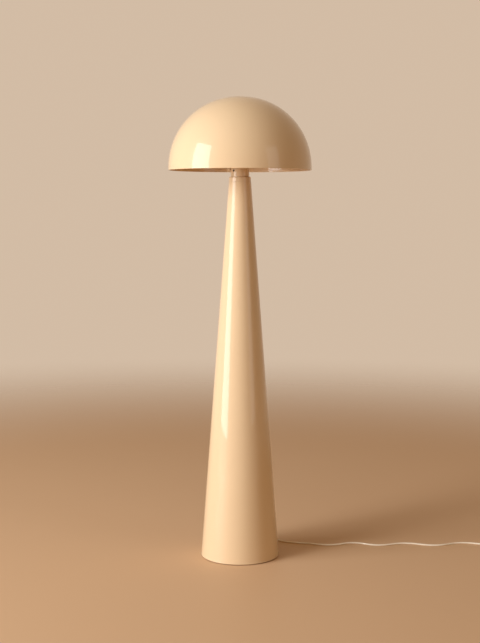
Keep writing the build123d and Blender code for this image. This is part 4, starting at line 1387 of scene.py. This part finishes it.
def makeCoilTie():
    low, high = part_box("coil_tie")
    thickness, selvedge = tieSet["thickness"], tieSet["selvedge"]
    half = thickness / 2
    left, right, bottom, top = low.x + half, high.x - half, low.z + half, high.z - half
    middle, upper = (left + right) / 2, top + thickness
    path = roundedPath([
        (middle, top), (right, top), (right, bottom), (left, bottom), (left, top),
        (middle - tieSet["lapStart"], top),
    ], tieSet["corner"])
    path += [Vector((middle + tieSet["lapStep"], upper)), Vector((middle + tieSet["lap"] / 2, upper))]
    strap = strip("coilTie", path, (low.y, low.y + selvedge, high.y - selvedge, high.y))
    giveWall(strap, thickness * tieSet["fill"], offset=0)
    softenEdges(strap, tieSet["edge"], segments=2, angle=50)
    return finished(strap, "tie_black", "stand", "coil_tie", sharp=45)


# plug: flat moulded body with grip grooves, ribbed boot, sleeved pins
plugSet = {
    "width": 0.0353, "backWidth": 0.017, "thickness": 0.0137, "depth": 0.035, "taper": 0.013,
    "corner": 0.004, "cornersFrom": 0.005, "rounding": 0.0026,
    "grooves": 6, "groovePitch": 0.0028, "grooveWidth": 0.0018, "grooveLength": 0.020,
    "grooveStart": 0.003, "grooveStanding": 0.0002, "grooveEdge": 0.0004,
}
plugBootSet = {
    "length": 0.013, "radius": 0.0046, "tip": 0.0035, "bore": 0.0026, "overlap": 0.001, "edge": 0.00012,
    "ribs": 4, "groove": 0.0005, "ribSection": ((0.02, 0), (0.55, 0), (0.65, 1), (0.92, 1)),
}
pinSet = {
    "spacing": 0.0186, "radius": 0.002, "core": 0.0015, "root": 0.007, "length": 0.019, "nose": 0.0012,
    "shoulder": ((0.0001, 0.0002), (0, 0.0005)), "sleeve": 0.010, "sleeveRadius": 0.0019,
    "sleeveStart": 0.0001, "sleeveEdge": 0.0002,
}


def makePlugShell():
    # a block narrowed to the back, its corners and edges rounded, with grip grooves across both sides
    width, depth, thickness = plugSet["width"], plugSet["depth"], plugSet["thickness"]
    start, bend = plugBootSet["length"], plugBootSet["length"] + plugSet["taper"]
    cornersFrom = plugSet["cornersFrom"]
    clearSelection()
    middle = (0, start + depth / 2, 0)
    bpy.ops.mesh.primitive_cube_add(size=1, location=middle, scale=(width, depth, thickness))
    body = startPiece("plugBody")
    bpy.ops.object.transform_apply(location=False, rotation=False, scale=True)
    openMesh(body)
    bpy.ops.mesh.bisect(plane_co=(0, bend, 0), plane_no=(0, 1, 0))
    pick(body, "verts", lambda part, spot: spot.y < start + 10 * near)
    ratio = plugSet["backWidth"] / width
    bpy.ops.transform.resize(value=(ratio, 1, 1), center_override=(0, start, 0))
    pick(body, "edges", lambda edge, spot: abs(spot.x) < 10 * near and abs(spot.y - bend) < near)
    bpy.ops.mesh.dissolve_edges(use_verts=False)
    pick(body, "edges", lambda edge, spot: abs(spot.z) < 10 * near and abs(spot.x) > cornersFrom)
    bpy.ops.mesh.bevel(offset=plugSet["corner"], segments=6, clamp_overlap=True)
    pick(body, "edges", lambda edge, spot: abs(spot.z) > thickness / 2 - near)
    bpy.ops.mesh.bevel(offset=plugSet["rounding"], segments=5, clamp_overlap=True)
    closeMesh()
    for side in (-1, 1):
        for step in range(plugSet["grooves"]):
            place = bend + plugSet["grooveStart"] + plugSet["groovePitch"] * step
            clearSelection()
            bpy.ops.mesh.primitive_cylinder_add(
                vertices=24, radius=plugSet["grooveWidth"] / 2, depth=plugSet["grooveLength"],
                location=(0, place, side * (thickness / 2 + plugSet["grooveStanding"])),
                rotation=(0, math.pi / 2, 0),
            )
            cutter = bpy.context.object
            softenEdges(cutter, plugSet["grooveEdge"], segments=3, angle=60)
            combine(body, cutter, "DIFFERENCE")
    return body


def makePlugBody():
    low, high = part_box("plug_body")
    body = makePlugShell()
    length, radius, bore = plugBootSet["length"], plugBootSet["radius"], plugBootSet["bore"]
    tip, end = plugBootSet["tip"], length + plugBootSet["overlap"]

    def sleeve(place):
        return tip + (radius - tip) * place / length

    boot = turnedRing("plugBoot", [
        (bore, 0), *ribPoints(0, length, plugBootSet, sleeve), (radius, end), (bore, end),
    ], around=48)
    softenEdges(boot, plugBootSet["edge"], segments=2, angle=40)
    aim(boot, (0, 0, 0), (0, 1, 0))
    plug = joinPieces("plugBody", body, boot)
    plug.location += Vector(((low.x + high.x) / 2, low.y, middleHeight("plug_body")))
    return finished(plug, "plug_white", "stand", "plug_body", sharp=35)


def bothPins(name, profile):
    low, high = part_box("plug_body")
    middle, height = (low.x + high.x) / 2, middleHeight("plug_body")
    pins = []
    for side in (-1, 1):
        pin = turned(name, profile, around=40)
        aim(pin, (middle + side * pinSet["spacing"] / 2, high.y, height), (0, 1, 0))
        pins.append(pin)
    return joinPieces(name, *pins)


def makePlugPins():
    radius, core, root = pinSet["radius"], pinSet["core"], pinSet["root"]
    length, nose = pinSet["length"], pinSet["nose"]
    sleeve, outer, edge = pinSet["sleeve"], pinSet["sleeveRadius"], pinSet["sleeveEdge"]
    pins = bothPins("plugPins", [
        (0, -root), (core, -root), (core, sleeve),
        *((radius - inwards, sleeve + along) for inwards, along in pinSet["shoulder"]),
        *arcPoints((radius - nose, length - nose), nose, 0, 90, 8), (0, length),
    ])
    finished(pins, "plug_nickel", "stand", "plug_pins", sharp=40)
    start = -pinSet["sleeveStart"]
    sleeves = bothPins("pinSleeves", [
        (core, start), (outer, start), (outer, sleeve - edge), (outer - edge, sleeve), (core, sleeve),
        (core, start),
    ])
    finished(sleeves, "plug_white", "stand", sharp=40)
    return pins, sleeves


coilTie = makeCoilTie()
plugBody = makePlugBody()
plugPins, pinSleeves = makePlugPins()
print("tie and plug made")


# fasteners under the foot
plateScrewSet = {
    "count": 6, "circle": 0.1032, "radius": 0.002, "head": 0.0038, "headHeight": 0.0021, "headEdge": 0.0002,
    "tip": 0.0005, "recess": (0.0044, 0.0009, 0.0028), "recessTaper": 0.35,
}
boltSet = {
    "count": 3, "circle": 0.060, "first": 30, "radius": 0.003, "head": 0.0056, "headHeight": 0.003,
    "rounding": 0.0014, "tip": 0.0006, "socket": 0.0029, "socketDepth": 0.0019, "clearance": 0.001,
}


def makePlateScrews():
    low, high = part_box("plate_screws")
    head, radius = plateScrewSet["head"], plateScrewSet["radius"]
    edge, tip, taper = plateScrewSet["headEdge"], plateScrewSet["tip"], plateScrewSet["recessTaper"]
    shoulder = low.z + plateScrewSet["headHeight"]
    screw = turned("plateScrew", [
        (0, low.z), (head - edge, low.z), (head, low.z + edge), (radius, shoulder),
        (radius, high.z - tip), (radius - tip, high.z), (0, high.z),
    ], around=40)
    for turn in (0, 90):  # the cross recess, narrower towards its bottom
        clearSelection()
        bpy.ops.mesh.primitive_cube_add(
            size=1, location=(0, 0, low.z), scale=plateScrewSet["recess"],
            rotation=(0, 0, math.radians(turn)),
        )
        cutter = bpy.context.object
        openMesh(cutter)
        pick(cutter, "verts", lambda part, spot: spot.z > low.z)
        bpy.ops.transform.resize(value=(taper, taper, 1), center_override=(0, 0, low.z))
        closeMesh()
        combine(screw, cutter, "DIFFERENCE")
    screw.location.x += plateScrewSet["circle"]
    screws = roundTheAxis(screw, "plateScrews", plateScrewSet["count"])
    return finished(screws, "zinc_steel", "stand", "plate_screws", sharp=35)


def makeBallastBolts():
    low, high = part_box("ballast_bolts")
    head, radius, tip = boltSet["head"], boltSet["radius"], boltSet["tip"]
    seat = low.z + boltSet["headHeight"]
    bolt = turned("ballastBolt", [
        *roundHead(low.z, head, boltSet["rounding"]), (head, seat), (radius, seat),
        (radius, high.z - tip), (radius - tip, high.z), (0, high.z),
    ], around=48)
    cutHexagon(bolt, boltSet["socket"], low.z - boltSet["clearance"], low.z + boltSet["socketDepth"])
    bolt.location.x += boltSet["circle"]
    bolts = roundTheAxis(bolt, "ballastBolts", boltSet["count"], boltSet["first"])
    return finished(bolts, "zinc_steel", "stand", "ballast_bolts", sharp=35)


makePlateScrews()
makeBallastBolts()
print("fasteners made")
